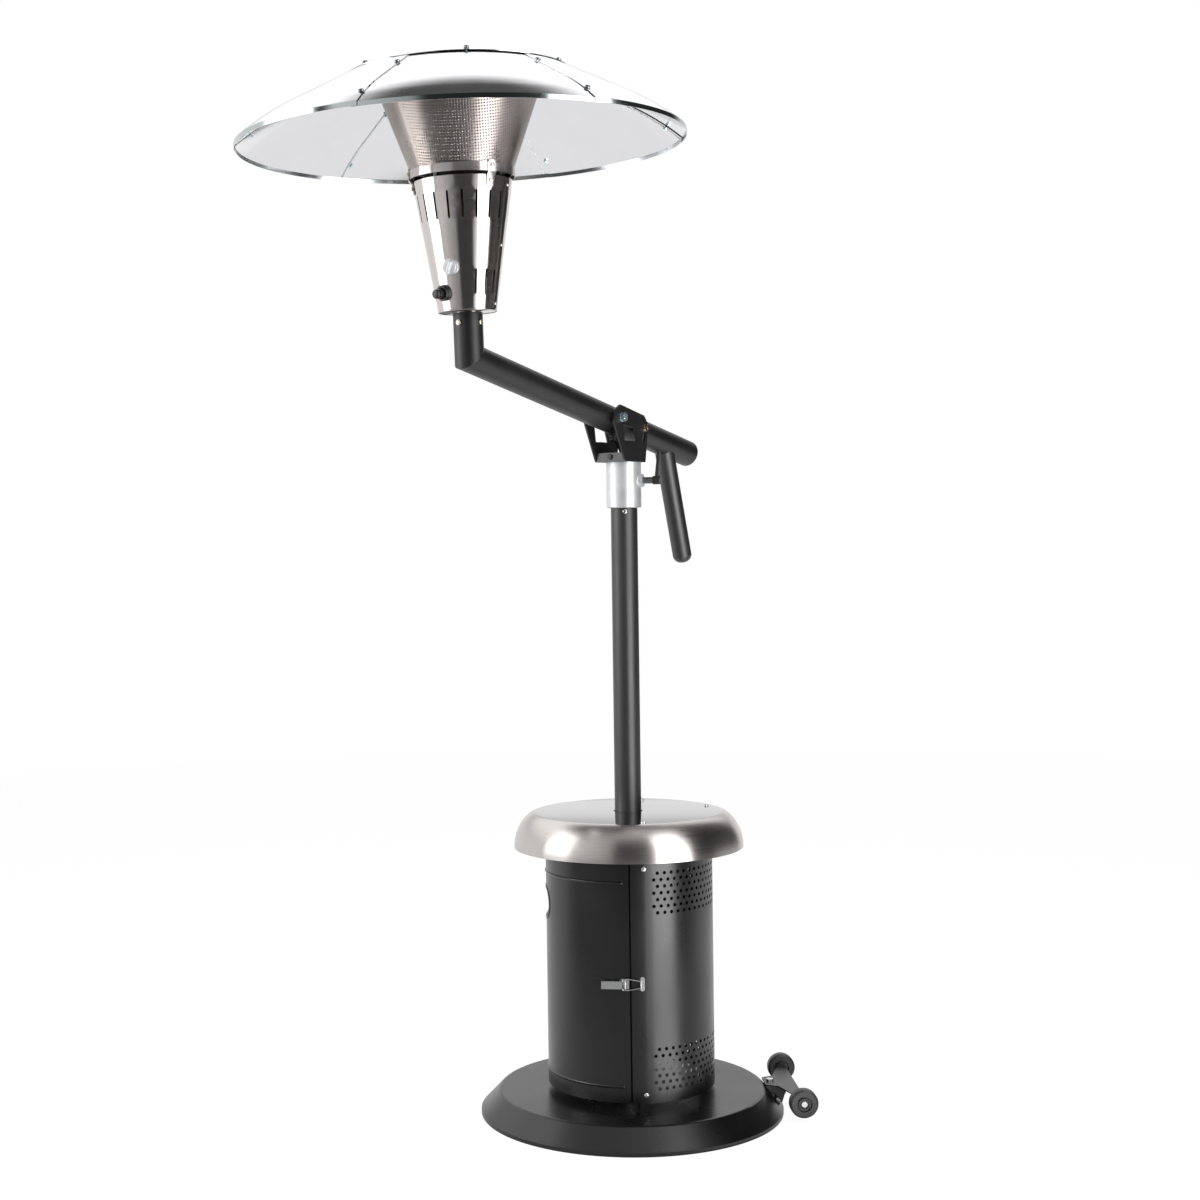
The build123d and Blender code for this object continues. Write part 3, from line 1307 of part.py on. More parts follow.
with BuildPart() as canopy_screws:
    for angle, radius in seam_screws:
        place = canopy_place(angle, radius, upper_lift + face_gap)
        pan_screw(place, screw_d, 7)
        with BuildSketch(place.offset(-upper_lift - petal_t - 2 * face_gap - 2)) as nut:
            RegularPolygon(0.8 * screw_d, 6, major_radius=False)
        extrude(nut.sketch, amount=-3)
    for angle, radius in cap_screws:
        lift = cap_over_petals * cos(radians(petal_slope)) + petal_t + face_gap
        place = canopy_place(angle, radius, lift)
        pan_screw(place, screw_d, lift + petal_t + 2)
        with BuildSketch(canopy_place(angle, radius, -petal_t - face_gap)) as nut:
            RegularPolygon(0.8 * screw_d, 6, major_radius=False)
        extrude(nut.sketch, amount=-3)
save(canopy_screws.part, "canopy_screws")

# Studs that carry the canopy over the emitter
stud_low = emitter_high + face_gap + thin_sheet + face_gap
stud_high = flat_z + cap_rise * (1 - stud_r / cap_flat_r) - 1.0
with BuildPart() as canopy_studs:
    for angle in stud_angles:
        place = level_plane(head, angle, stud_r, stud_low)
        with BuildSketch(place) as hexagon:
            RegularPolygon(stud_body_r, 6, major_radius=False)
        extrude(hexagon.sketch, amount=stud_high - stud_low)
        with Locations(place):
            Cylinder(stud_thread_r, 6, align=under_face)
            Cylinder(stud_thread_r, stud_high - stud_low + 7, align=on_face)
            with Locations((0, 0, stud_high - stud_low + petal_t + 2.2)):
                Cylinder(stud_body_r - 1, 3, align=on_face)
        with Locations(place.offset(-thin_sheet - 3.8)):
            Cylinder(stud_body_r - 1, 3, align=on_face)
save(canopy_studs.part, "canopy_studs")
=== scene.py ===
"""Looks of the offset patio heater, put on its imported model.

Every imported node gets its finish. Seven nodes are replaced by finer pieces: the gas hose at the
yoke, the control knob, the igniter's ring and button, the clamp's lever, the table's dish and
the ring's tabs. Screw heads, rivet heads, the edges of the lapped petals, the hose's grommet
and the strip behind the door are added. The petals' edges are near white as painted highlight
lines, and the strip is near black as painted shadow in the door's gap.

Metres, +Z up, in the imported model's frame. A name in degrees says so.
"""

from math import atan2, cos, pi, radians, sin, tan

import bmesh
import bpy
from mathutils import Matrix, Quaternion, Vector
from mathutils.bvhtree import BVHTree


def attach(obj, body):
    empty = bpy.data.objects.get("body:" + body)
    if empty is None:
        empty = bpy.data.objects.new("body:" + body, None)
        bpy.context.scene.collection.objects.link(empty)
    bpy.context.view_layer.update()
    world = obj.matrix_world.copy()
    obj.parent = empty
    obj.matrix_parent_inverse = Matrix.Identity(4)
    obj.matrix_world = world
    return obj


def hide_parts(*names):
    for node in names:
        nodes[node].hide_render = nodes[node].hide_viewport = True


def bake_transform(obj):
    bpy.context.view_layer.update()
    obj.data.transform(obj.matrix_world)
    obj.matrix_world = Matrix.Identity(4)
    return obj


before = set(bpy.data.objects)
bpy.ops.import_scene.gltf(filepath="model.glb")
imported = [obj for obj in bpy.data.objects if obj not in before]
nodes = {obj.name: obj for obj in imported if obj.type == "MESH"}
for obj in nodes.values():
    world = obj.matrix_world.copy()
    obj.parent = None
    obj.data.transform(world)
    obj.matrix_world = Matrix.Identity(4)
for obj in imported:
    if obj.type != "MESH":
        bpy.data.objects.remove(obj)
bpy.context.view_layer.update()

# ---------------------------------------------------------------- places, as in the part's source
# The arm, its tube and the burner's head at its end. The head's axis leans with the arm.
ARM_Z, ARM_RISE, TUBE_R = 1.474, radians(11.0), 0.0285
ELBOW_AHEAD, HOSE_AHEAD = 0.535, 0.036
HEAD_LEAN = radians(2.3)
# Burner housing, then emitter, up the head's axis
CONE_LOW, CONE_HIGH, CONE_LOW_R, CONE_HIGH_R = 0.086, 0.330, 0.0556, 0.0944
EMITTER_LOW, EMITTER_HIGH, EMITTER_LOW_R, EMITTER_HIGH_R = 0.341, 0.505, 0.0944, 0.155
EMITTER_SEAM_DEG, SEAM_HALF_W, PERFORATED_HALF_H = 163.0, 0.030, 0.0735
PERFORATION_PITCH, PERFORATION_R = 0.0054, 0.00135
KNOB_DEG, KNOB_H, KNOB_TURN_DEG = -166.0, 0.165, -24.0
IGNITER_DEG, IGNITER_H = 175.0, 0.119
# Tabs that join the ring to the burner housing
TAB_ANGLES_DEG, TAB_R, TAB_T, TAB_HALF_W = (-109.0, 11.0, 131.0), 0.1008, 0.0014, 0.0090
# Canopy
CANOPY_RIM_R, PETALS, PETAL_SEAM_DEG, PETAL_LAP_DEG = 0.4236, 6, 12.0, 1.6
PETAL_EDGE_FROM, PETAL_EDGE_LENGTH, PETAL_EDGE_HALF_W = 0.200, 0.2225, 0.0019
UNDER_CANOPY_H = 0.2
# Table
TABLE_Z, DISH_HOLE_R, DISH_FLAT_R = 0.646, 0.03125, 0.198
DISH_SKIRT, DISH_DROP, DISH_SHEET = 0.048, 0.0745, 0.0012
# Clamp screw of the collar, and the strip that the door closes against
CLAMP_DEG, CLAMP_Z, CLAMP_LEVER_OUT = -71.0, 1.355, 0.0725
STRIP_R, STRIP_T, STRIP_LOW, STRIP_HIGH = 0.1752, 0.0020, 0.066, 0.564
STRIP_FROM_DEG, STRIP_WIDE_DEG = -148.8, 6.6
# The photograph's camera
VIEW_AZIMUTH, VIEW_PITCH, VIEW_ROLL = radians(36.144), radians(1.5), radians(-0.849)
VIEW_PLACE, VIEW_LENS, VIEW_SHIFT = (-3.3230, -2.1458, 1.2065), 55.19, 0.0671


def arm_point(ahead):
    """Point on the arm's axis, this far ahead of the pole."""
    return Vector((-ahead, 0, ARM_Z + ahead * tan(ARM_RISE)))


def facing_out(base, degrees, radius, height, nod=0.0):
    """Placement on a body of revolution: local z faces outwards, local y runs up."""
    angle = radians(degrees)
    out = Vector((cos(angle), sin(angle), 0))
    along = Vector((-sin(angle), cos(angle), 0))
    z = out * cos(nod) - Vector((0, 0, sin(nod)))
    turn = Matrix((along, z.cross(along), z)).transposed().to_4x4()
    return base @ Matrix.Translation(out * radius + Vector((0, 0, height))) @ turn


elbow = arm_point(ELBOW_AHEAD)
ground_frame = Matrix.Identity(4)
head_frame = Matrix.Translation(elbow) @ Matrix.Rotation(-HEAD_LEAN, 4, "Y")
cone_nod = atan2(CONE_HIGH_R - CONE_LOW_R, CONE_HIGH - CONE_LOW)


def on_cone(degrees, height):
    """Placement on the burner housing's skin."""
    radius = CONE_LOW_R + (height - CONE_LOW) * tan(cone_nod)
    return facing_out(head_frame, degrees, radius, height, cone_nod)


# ---------------------------------------------------------------- finishes
class Level:
    """A number on its way through a finish's nodes, for plain sums."""

    def __init__(self, finish, socket):
        self.finish, self.socket = finish, socket

    def __add__(self, other):
        return self.finish.maths("ADD", self, other)

    __radd__ = __add__

    def __sub__(self, other):
        return self.finish.maths("SUBTRACT", self, other)

    def __rsub__(self, other):
        return self.finish.maths("SUBTRACT", other, self)

    def __mul__(self, other):
        return self.finish.maths("MULTIPLY", self, other)

    __rmul__ = __mul__

    def __gt__(self, other):
        return self.finish.maths("GREATER_THAN", self, other)

    def __abs__(self):
        return self.finish.maths("ABSOLUTE", self)


class Finish:
    """A material with its nodes; constants go straight onto the shader."""

    def __init__(self, name, **constants):
        self.material = bpy.data.materials.new(name)
        self.material.use_nodes = True
        self.tree = self.material.node_tree
        self.shader = self.tree.nodes["Principled BSDF"]
        for key, value in constants.items():
            self.shader.inputs[key.replace("_", " ")].default_value = value

    def node(self, kind, settings, sockets, output=0):
        made = self.tree.nodes.new(kind)
        for key, value in settings.items():
            setattr(made, key, value)
        for key, value in sockets.items():
            if isinstance(value, Level):
                self.tree.links.new(value.socket, made.inputs[key])
            else:
                made.inputs[key].default_value = value
        return Level(self, made.outputs[output])

    def maths(self, operation, first, second=0.0):
        return self.node("ShaderNodeMath", {"operation": operation}, {0: first, 1: second})

    def length(self, x, y):
        flat = self.node("ShaderNodeCombineXYZ", {}, {0: x, 1: y, 2: 0.0})
        return self.node("ShaderNodeVectorMath", {"operation": "LENGTH"}, {0: flat}, 1)

    def feed(self, name, level):
        self.tree.links.new(level.socket, self.shader.inputs[name])

    def place(self, location=(0, 0, 0), rotation=(0, 0, 0)):
        """Object coordinates seen from a frame at this place."""
        where = self.node("ShaderNodeTexCoord", {}, {}, "Object")
        sockets = {0: where, "Location": location, "Rotation": rotation}
        return self.node("ShaderNodeMapping", {"vector_type": "TEXTURE"}, sockets)

    def parts(self, vector):
        return [self.node("ShaderNodeSeparateXYZ", {}, {0: vector}, k) for k in range(3)]

    def noise(self, vector, scale, detail=2.0, roughness=0.5):
        sockets = {"Vector": vector, "Scale": scale, "Detail": detail, "Roughness": roughness}
        return self.node("ShaderNodeTexNoise", {}, sockets)

    def between(self, level, low, high, to_low=0.0, to_high=1.0, smooth=False):
        settings = {"interpolation_type": "SMOOTHSTEP" if smooth else "LINEAR"}
        sockets = {0: level, 1: low, 2: high, 3: to_low, 4: to_high}
        return self.node("ShaderNodeMapRange", settings, sockets)

    def outward(self, x, y):
        """1 on faces turned away from an upright axis, 0 on those turned towards it."""
        facing = self.parts(self.node("ShaderNodeTexCoord", {}, {}, "Normal"))
        return (x * facing[0] + y * facing[1]) > 0.0

    def mix(self, factor, first, second):
        sockets = {0: factor, 6: first, 7: second}
        return self.node("ShaderNodeMix", {"data_type": "RGBA"}, sockets, 2)

    def bump(self, height, distance, strength=1.0):
        sockets = {"Height": height, "Distance": distance, "Strength": strength}
        self.feed("Normal", self.node("ShaderNodeBump", {}, sockets))


def rgb(red, green=None, blue=None):
    green = red if green is None else green
    blue = red if blue is None else blue
    return (red, green, blue, 1.0)


def shades(tone, darker, lighter):
    """A darker and a lighter colour of the same tone."""
    return [rgb(*(value * factor for value in tone)) for factor in (darker, lighter)]


def powder_coat(name, tone, roughness, gloss=1.0):
    """Satin powder coat: slight orange peel and faint cloudiness."""
    coat = Finish(name, Metallic=0.0, Specular_IOR_Level=gloss)
    where = coat.place()
    cloud = coat.noise(where, 7.0, 3.0)
    speck = coat.noise(where, 520.0, 2.0)
    coat.feed("Base Color", coat.mix(cloud * 0.75 + speck * 0.25, *shades(tone, 0.82, 1.22)))
    coat.feed("Roughness", coat.between(cloud, 0.3, 0.7, roughness - 0.04, roughness + 0.05))
    coat.bump(speck, 0.00012, 0.35)
    return coat.material


def brushed_steel(name, tone, roughness, location=(0, 0, 0), lean=0.0, table=False, cone=False):
    """Stainless sheet with grain round an upright or leaning axis."""
    steel = Finish(
        name, Metallic=1.0, Anisotropic=0.85, Anisotropic_Rotation=0.25, Specular_Tint=rgb(0.9),
    )
    where = steel.place(location, (0, lean, 0))
    x, y, z = steel.parts(where)
    turn = steel.maths("ARCTAN2", y, x)
    radius = steel.length(x, y)
    round_axis = {0: turn * 1.4, 1: z * 2600.0, 2: radius * 2600.0}
    grain = steel.noise(steel.node("ShaderNodeCombineXYZ", {}, round_axis), 1.0, 3.0, 0.65)
    cloud = steel.noise(where, 9.0, 2.0)
    shade = steel.mix(grain * 0.7 + cloud * 0.3, *shades(tone, 0.86, 1.08))
    rough = steel.between(grain, 0.25, 0.75, roughness - 0.05, roughness + 0.07)
    depth = grain
    if table:  # polished on its level face
        polished = steel.between(z, TABLE_Z - 0.0010, TABLE_Z - 0.0004)
        shade = steel.mix(polished, shade, rgb(0.56, 0.545, 0.545))
        rough = rough * (1 - polished) + polished * 0.09
        depth = grain * (1 - polished)
    if cone:  # painted shade: darker and rougher on its inside faces
        outer = steel.outward(x, y)
        shade = steel.mix(outer, rgb(0.10, 0.09, 0.085), shade)
        rough = rough * outer + (1 - outer) * 0.6
    steel.bump(depth, 0.000004, 0.3)
    steel.feed("Base Color", shade)
    steel.feed("Roughness", rough)
    return steel.material


def plain_metal(name, tone, roughness, scale=60.0, depth=0.00002, metallic=1.0):
    """Plated or cast metal with fine clouding."""
    metal = Finish(name, Metallic=metallic)
    where = metal.place()
    cloud = metal.noise(where, scale, 3.0)
    fine = metal.noise(where, 1500.0, 2.0)
    metal.feed("Base Color", metal.mix(cloud, *shades(tone, 0.84, 1.08)))
    mottle = cloud * 0.6 + fine * 0.4
    metal.feed("Roughness", metal.between(mottle, 0.3, 0.7, roughness * 0.8, roughness * 1.25))
    metal.bump(fine, depth, 0.4)
    return metal.material


def moulded(name, tone, roughness):
    """Moulded plastic or rubber with a fine spark texture."""
    plastic = Finish(name)
    where = plastic.place()
    speck = plastic.noise(where, 1400.0, 2.0)
    cloud = plastic.noise(where, 25.0, 2.0)
    plastic.feed("Base Color", plastic.mix(cloud, *shades(tone, 0.85, 1.2)))
    plastic.feed("Roughness", plastic.between(cloud, 0.3, 0.7, roughness - 0.05, roughness + 0.06))
    plastic.bump(speck, 0.00005, 0.5)
    return plastic.material


def rolled_aluminium():
    """Bright canopy sheet with faint rolling lines, a little haze and a rim painted darker as a
    shaded edge line.
    """
    sheet = Finish("rolled_aluminium", Metallic=1.0)
    where = sheet.place(elbow, (0, -HEAD_LEAN, 0))
    x, y, z = sheet.parts(where)
    rolling = sheet.node("ShaderNodeCombineXYZ", {}, {0: x * 900.0, 1: y * 6.0, 2: z * 6.0})
    lines = sheet.noise(rolling, 1.0, 2.0)
    haze = sheet.noise(where, 11.0, 4.0, 0.6)
    pale, paler = rgb(0.72, 0.72, 0.735), rgb(0.82, 0.82, 0.835)
    shade = sheet.mix(haze * 0.7 + lines * 0.3, pale, paler)
    # Painted shade: the rim band is darker grey, as a thin shaded line along the canopy's edge
    rim = sheet.between(sheet.length(x, y), CANOPY_RIM_R, CANOPY_RIM_R + 0.0004)
    sheet.feed("Base Color", sheet.mix(rim, shade, rgb(0.50, 0.54, 0.545)))
    sheet.feed("Roughness", sheet.between(haze * 0.6 + lines * 0.4, 0.3, 0.7, 0.09, 0.17))
    sheet.bump(haze * 0.8 + lines * 0.02, 0.0006, 0.25)
    return sheet.material


def perforated_steel():
    """Emitter screen: staggered holes, laid out flat as the sheet was before rolling."""
    screen = Finish("perforated_steel", Metallic=1.0)
    half_angle = atan2(EMITTER_HIGH_R - EMITTER_LOW_R, EMITTER_HIGH - EMITTER_LOW)
    apex = EMITTER_LOW - EMITTER_LOW_R / tan(half_angle)
    where = screen.place(elbow, (0, -HEAD_LEAN, 0))
    from_seam = {0: where, "Angle": radians(180.0 - EMITTER_SEAM_DEG)}
    turned = screen.node("ShaderNodeVectorRotate", {"rotation_type": "Z_AXIS"}, from_seam)
    x, y, z = screen.parts(turned)
    # Place on the flat sheet: distance from the cone's apex, and turn about it
    turn = screen.maths("ARCTAN2", y, x) * sin(half_angle)
    slant = (z - apex) * cos(half_angle) + screen.length(x, y) * sin(half_angle)
    across = slant * screen.maths("SINE", turn)
    along = slant * screen.maths("COSINE", turn)
    # Two diagonal grids make the staggered rows
    scale = 0.70711 / PERFORATION_PITCH
    first = screen.maths("FRACT", (along + across) * scale) - 0.5
    second = screen.maths("FRACT", (along - across) * scale) - 0.5
    reach = screen.length(first, second) * PERFORATION_PITCH
    metal = screen.between(reach, PERFORATION_R - 0.0002, PERFORATION_R + 0.0002)
    from_middle = abs(z - (EMITTER_LOW + EMITTER_HIGH) / 2)
    border = screen.between(from_middle, PERFORATED_HALF_H, PERFORATED_HALF_H + 0.0002)
    half_turn = pi * sin(half_angle) - SEAM_HALF_W
    seam = screen.between(abs(turn), half_turn, half_turn + 0.001)
    whole = screen.maths("MAXIMUM", border, seam)
    screen.feed("Alpha", screen.maths("MAXIMUM", metal, whole))
    cloud = screen.noise(where, 14.0, 3.0)
    shade = screen.mix(cloud, rgb(0.33, 0.292, 0.276), rgb(0.42, 0.370, 0.348))
    # Painted shade: the screen's inside faces are near black, so the holes look dark
    upright = screen.parts(screen.place(elbow))
    outer = screen.outward(upright[0], upright[1])
    screen.feed("Base Color", screen.mix(outer, rgb(0.030, 0.026, 0.025), shade))
    screen.feed("Roughness", screen.between(cloud, 0.3, 0.7, 0.24, 0.34))
    screen.bump(screen.between(reach, PERFORATION_R, PERFORATION_R + 0.0006), 0.0003)
    return screen.material


powder_black = powder_coat("powder_black", (0.0045, 0.0040, 0.0044), 0.29, 0.6)
powder_tube = powder_coat("powder_tube", (0.0070, 0.0062, 0.0067), 0.44)
powder_arm = powder_coat("powder_arm", (0.0060, 0.0052, 0.0055), 0.44, 0.65)
powder_body = powder_coat("powder_body", (0.0045, 0.0040, 0.0046), 0.29, 0.7)
yoke_black = powder_coat("yoke_black", (0.0060, 0.0054, 0.0058), 0.42)
# Painted shadow: a near-black matt finish for the strip behind the door's gap
shadow_matt_black = {"Base_Color": rgb(0.002), "Roughness": 0.9, "Specular_IOR_Level": 0.1}
gap_shadow_black = Finish("gap_shadow_black", **shadow_matt_black).material
cone_steel = brushed_steel("cone_steel", (0.66, 0.62, 0.605), 0.21, elbow, -HEAD_LEAN, cone=True)
table_steel = brushed_steel("table_steel", (0.60, 0.565, 0.545), 0.29, table=True)
canopy_sheet = rolled_aluminium()
emitter_sheet = perforated_steel()
collar_metal = plain_metal("collar_metal", (0.74, 0.755, 0.775), 0.40, 40.0, metallic=0.6)
zinc_plate = plain_metal("zinc_plate", (0.78, 0.79, 0.80), 0.24)
blue_zinc = plain_metal("blue_zinc", (0.70, 0.84, 0.90), 0.25, metallic=0.85)
yellow_zinc = plain_metal("yellow_zinc", (0.83, 0.69, 0.50), 0.25)
dark_zinc = plain_metal("dark_zinc", (0.22, 0.22, 0.225), 0.35)
black_oxide = plain_metal("black_oxide", (0.05, 0.05, 0.052), 0.4)
sooted_steel = plain_metal("sooted_steel", (0.09, 0.085, 0.08), 0.5)
cast_metal = plain_metal("cast_metal", (0.5, 0.5, 0.5), 0.45, 200.0, 0.0001)
mill_steel = plain_metal("mill_steel", (0.42, 0.42, 0.43), 0.4, 30.0)
brass_metal = plain_metal("brass_metal", (0.10, 0.075, 0.04), 0.4)
knob_metal = plain_metal("knob_metal", (0.88, 0.89, 0.91), 0.34, metallic=0.55)
# Near white and barely metallic: a painted highlight along the petals' lapped edges
cut_edge_highlight = plain_metal("cut_edge_highlight", (0.92, 0.93, 0.94), 0.5, metallic=0.1)
hose_rubber = moulded("hose_rubber", (0.020, 0.019, 0.019), 0.5)
black_plastic = moulded("black_plastic", (0.018, 0.017, 0.018), 0.38)
wheel_plastic = moulded("wheel_plastic", (0.026, 0.025, 0.026), 0.42)
nylon = moulded("nylon", (0.75, 0.75, 0.72), 0.4)
ceramic = moulded("ceramic", (0.85, 0.82, 0.77), 0.2)

finish_of = {
    powder_black: ("base_cover", "support_posts", "carrier_plate", "pole_socket", "wheel_bracket"),
    powder_tube: ("lower_pole", "handle_tube"),
    powder_arm: ("arm_tube", "neck_tube"),
    powder_body: ("housing_shell", "housing_door", "door_hinges", "door_leaves"),
    yoke_black: ("yoke",),
    mill_steel: ("ballast_plate", "swivel_spindle", "wheel_axle"),
    table_steel: ("table_top",),
    cone_steel: ("burner_pan", "cone_housing", "ring_band", "ring_tabs", "emitter_cap"),
    zinc_plate: ("body_screws", "base_bolts", "latch_strike", "latch_base", "latch_lever",
                 "latch_bail", "head_screws", "cone_rivets"),
    blue_zinc: ("pivot_bolt", "canopy_screws", "canopy_studs"),
    yellow_zinc: ("lock_bolt",),
    hose_rubber: ("hose_lower", "hose_middle", "hose_upper"),
    cast_metal: ("gas_regulator",),
    black_plastic: ("clamp_lever", "arm_end_cap", "igniter_body", "igniter_button"),
    wheel_plastic: ("near_wheel", "far_wheel"),
    collar_metal: ("swivel_collar",),
    nylon: ("collar_bushes", "ear_spacers"),
    dark_zinc: ("clamp_screw",),
    black_oxide: ("yoke_bolts",),
    sooted_steel: ("burner_pot",),
    brass_metal: ("gas_valve",),
    ceramic: ("igniter_electrode",),
    emitter_sheet: ("emitter_screen",),
    canopy_sheet: ("canopy_petals", "canopy_cap"),
    knob_metal: ("control_knob",),
}
for material, names in finish_of.items():
    for name in names:
        mesh = nodes[name].data
        mesh.materials.clear()
        mesh.materials.append(material)

# ---------------------------------------------------------------- camera
scene = bpy.context.scene
camera = bpy.data.objects.new("camera", bpy.data.cameras.new("camera"))
scene.collection.objects.link(camera)
camera.data.sensor_width = 36.0
camera.data.lens = VIEW_LENS
camera.data.shift_x = VIEW_SHIFT
camera.data.clip_end = 60.0
level_part = cos(VIEW_PITCH)
forward = Vector((
    cos(VIEW_AZIMUTH) * level_part, sin(VIEW_AZIMUTH) * level_part, -sin(VIEW_PITCH),
))
camera.rotation_mode = "QUATERNION"
camera.rotation_quaternion = (
    forward.to_track_quat("-Z", "Y") @ Quaternion((0, 0, 1), VIEW_ROLL)
)
camera.location = VIEW_PLACE
scene.camera = camera

# ---------------------------------------------------------------- studio
scene.view_settings.view_transform = "Standard"


class Studio(Finish):
    """The world's nodes, with the same helpers as a finish."""

    def __init__(self):
        world = bpy.data.worlds.new("studio")
        scene.world = world
        world.use_nodes = True
        self.tree = world.node_tree
        self.tree.nodes.clear()

    def fade(self, level, low_deg, high_deg, to_low=0.0, to_high=1.0, smooth=True):
        return self.between(level, radians(low_deg), radians(high_deg), to_low, to_high, smooth)


# Bearings count from the side where the photograph's camera stands, seen from the object
camera_bearing = VIEW_AZIMUTH + pi
studio = Studio()
look = studio.node("ShaderNodeTexCoord", {}, {}, "Generated")
near_side, sideways, upward = studio.parts(studio.node(
    "ShaderNodeVectorRotate", {"rotation_type": "Z_AXIS"}, {0: look, "Angle": -camera_bearing},
))
bearing = studio.maths("ARCTAN2", sideways, near_side)
elevation = studio.maths("ARCSINE", upward)

# White backdrop behind the object, dimmer in a low band and brighter above it
backdrop = studio.fade(abs(bearing - radians(22)), 112, 128)
backdrop = backdrop * studio.fade(abs(elevation - radians(16.5)), 2, 6, 0.68, 0.97, False)
backdrop = backdrop * studio.fade(elevation, 18, 30, 1.0, 1.4, False)
room = backdrop + 0.03
ceiling = studio.fade(elevation, 46, 59)
overhead_glow = studio.between(near_side, 0.0, 0.3, 0.08, 0.8, smooth=True)
room = room * (1 - ceiling) + ceiling * overhead_glow
# Reflector to the left of the camera, and a glow straight above
reflector = studio.fade(abs(bearing - radians(-42)), 27, 19)
reflector = reflector * studio.fade(elevation, 62, 38) * studio.fade(elevation, -52, -28)
crown = studio.fade(elevation, 76, 84)
light = room + reflector * studio.fade(bearing, -62, -18, 0.95, 0.38, False) + crown * 0.6
# The picture itself sees plain white
seen = studio.node("ShaderNodeLightPath", {}, {}, "Is Camera Ray")
through = studio.node("ShaderNodeLightPath", {}, {}, "Is Transmission Ray")
plain = studio.maths("MAXIMUM", seen, through)
strength = light * (1 - plain) + plain
glowing = {"Color": rgb(1.0), "Strength": strength}
background = studio.node("ShaderNodeBackground", {}, glowing)
world_out = studio.tree.nodes.new("ShaderNodeOutputWorld")
studio.tree.links.new(background.socket, world_out.inputs["Surface"])

# Floor: white paper that glows in the picture, and in a mirror shows a darker room and a glowing
# streak
PAPER_GLOW, THIN_PAPER, PAPER = 0.93, 0.12, 0.8
ground = Finish("floor_white")
camera_ray = ground.node("ShaderNodeLightPath", {}, {}, "Is Camera Ray")
glossy_ray = ground.node("ShaderNodeLightPath", {}, {}, "Is Glossy Ray")
through_ray = ground.node("ShaderNodeLightPath", {}, {}, "Is Transmission Ray")
picture = ground.maths("MAXIMUM", camera_ray, ground.maths("MAXIMUM", glossy_ray, through_ray))
paper = ground.node("ShaderNodeBsdfDiffuse", {}, {"Color": rgb(PAPER)})
toward, aside, _ = ground.parts(ground.place(rotation=(0, 0, camera_bearing)))
reach = ground.length(toward, aside)
far_off = ground.between(reach, 1.5, 2.6, smooth=True)
camera_side = ground.between(toward, -0.4, 0.6)
# Painted light: a glowing streak on the floor, seen only in mirrors, that gives the housing its
# highlight band
beside = abs(ground.maths("ARCTAN2", aside, toward) - radians(40))
sheen = ground.between(beside, radians(21), radians(13), smooth=True)
sheen = sheen * ground.between(reach, 0.33, 0.45)
mirrored = ground.between(toward, -0.4, 0.6, 0.86, 0.30)
mirrored = mirrored * (1 - far_off * camera_side * 0.93) + sheen * 3.0
glow_strength = PAPER_GLOW + glossy_ray * (mirrored - PAPER_GLOW)
glow = ground.node("ShaderNodeEmission", {}, {"Color": rgb(1.0), "Strength": glow_strength})
thin_paper = ground.node("ShaderNodeBsdfDiffuse", {}, {"Color": rgb(THIN_PAPER)})
lit = ground.node("ShaderNodeAddShader", {}, {0: thin_paper, 1: glow})
surface = ground.node("ShaderNodeMixShader", {}, {0: picture, 1: paper, 2: lit})
ground_out = ground.tree.nodes["Material Output"]
ground.tree.links.new(surface.socket, ground_out.inputs["Surface"])


def as_mesh(name, bm):
    mesh = bpy.data.meshes.new(name)
    bm.to_mesh(mesh)
    bm.free()
    return mesh


def mesh_object(name, bm, material):
    piece = bpy.data.objects.new(name, as_mesh(name, bm))
    scene.collection.objects.link(piece)
    piece.data.materials.append(material)
    return piece


bm = bmesh.new()
bmesh.ops.create_circle(bm, cap_ends=True, segments=96, radius=7.0)
floor = mesh_object("floor", bm, ground.material)


def lamp(name, bearing_deg, distance, low, high, width, radiance, in_mirrors):
    """Softbox standing upright, or hung level when low and high are the same."""
    angle = camera_bearing + radians(bearing_deg)
    out = Vector((cos(angle), sin(angle), 0))
    level = low == high
    depth = width if level else high - low
    data = bpy.data.lights.new(name, "AREA")
    data.shape, data.size, data.size_y = "RECTANGLE", width, depth
    data.energy = radiance * pi * width * depth
    box = bpy.data.objects.new(name, data)
    scene.collection.objects.link(box)
    box.location = out * distance + Vector((0, 0, (low + high) / 2))
    aim = Vector((0, 0, -1)) if level else -out
    box.rotation_euler = aim.to_track_quat("-Z", "Y").to_euler()
    box.visible_glossy = in_mirrors
    box.visible_camera = False


lamp("right_softbox", 40, 1.83, 0.05, 3.00, 1.10, 3.6, True)
lamp("left_softbox", -78, 3.00, 0.60, 3.60, 1.60, 3.4, True)
lamp("overhead_softbox", 0, 0.6, 3.4, 3.4, 2.0, 1.2, False)


# ---------------------------------------------------------------- pieces
def smooth(piece, sharp_deg=35.0):
    for polygon in piece.data.polygons:
        polygon.use_smooth = True
    piece.data.set_sharp_from_angle(angle=radians(sharp_deg))


def spun(profile, steps):
    """Body of revolution about z from (radius, height) points."""
    bm = bmesh.new()
    points = [bm.verts.new((radius, 0, height)) for radius, height in profile]
    edges = [bm.edges.new(pair) for pair in zip(points, points[1:])]
    bmesh.ops.spin(
        bm, geom=points + edges, cent=(0, 0, 0), axis=(0, 0, 1), dvec=(0, 0, 0),
        angle=2 * pi, steps=steps, use_merge=True, use_duplicate=False,
    )
    bmesh.ops.remove_doubles(bm, verts=bm.verts, dist=1e-6)
    bmesh.ops.recalc_face_normals(bm, faces=bm.faces)
    return bm


def revolved(name, profile, place, material, steps=48):
    bm = spun(profile, steps)
    bmesh.ops.transform(bm, matrix=place, verts=bm.verts)
    piece = mesh_object(name, bm, material)
    smooth(piece)
    return piece


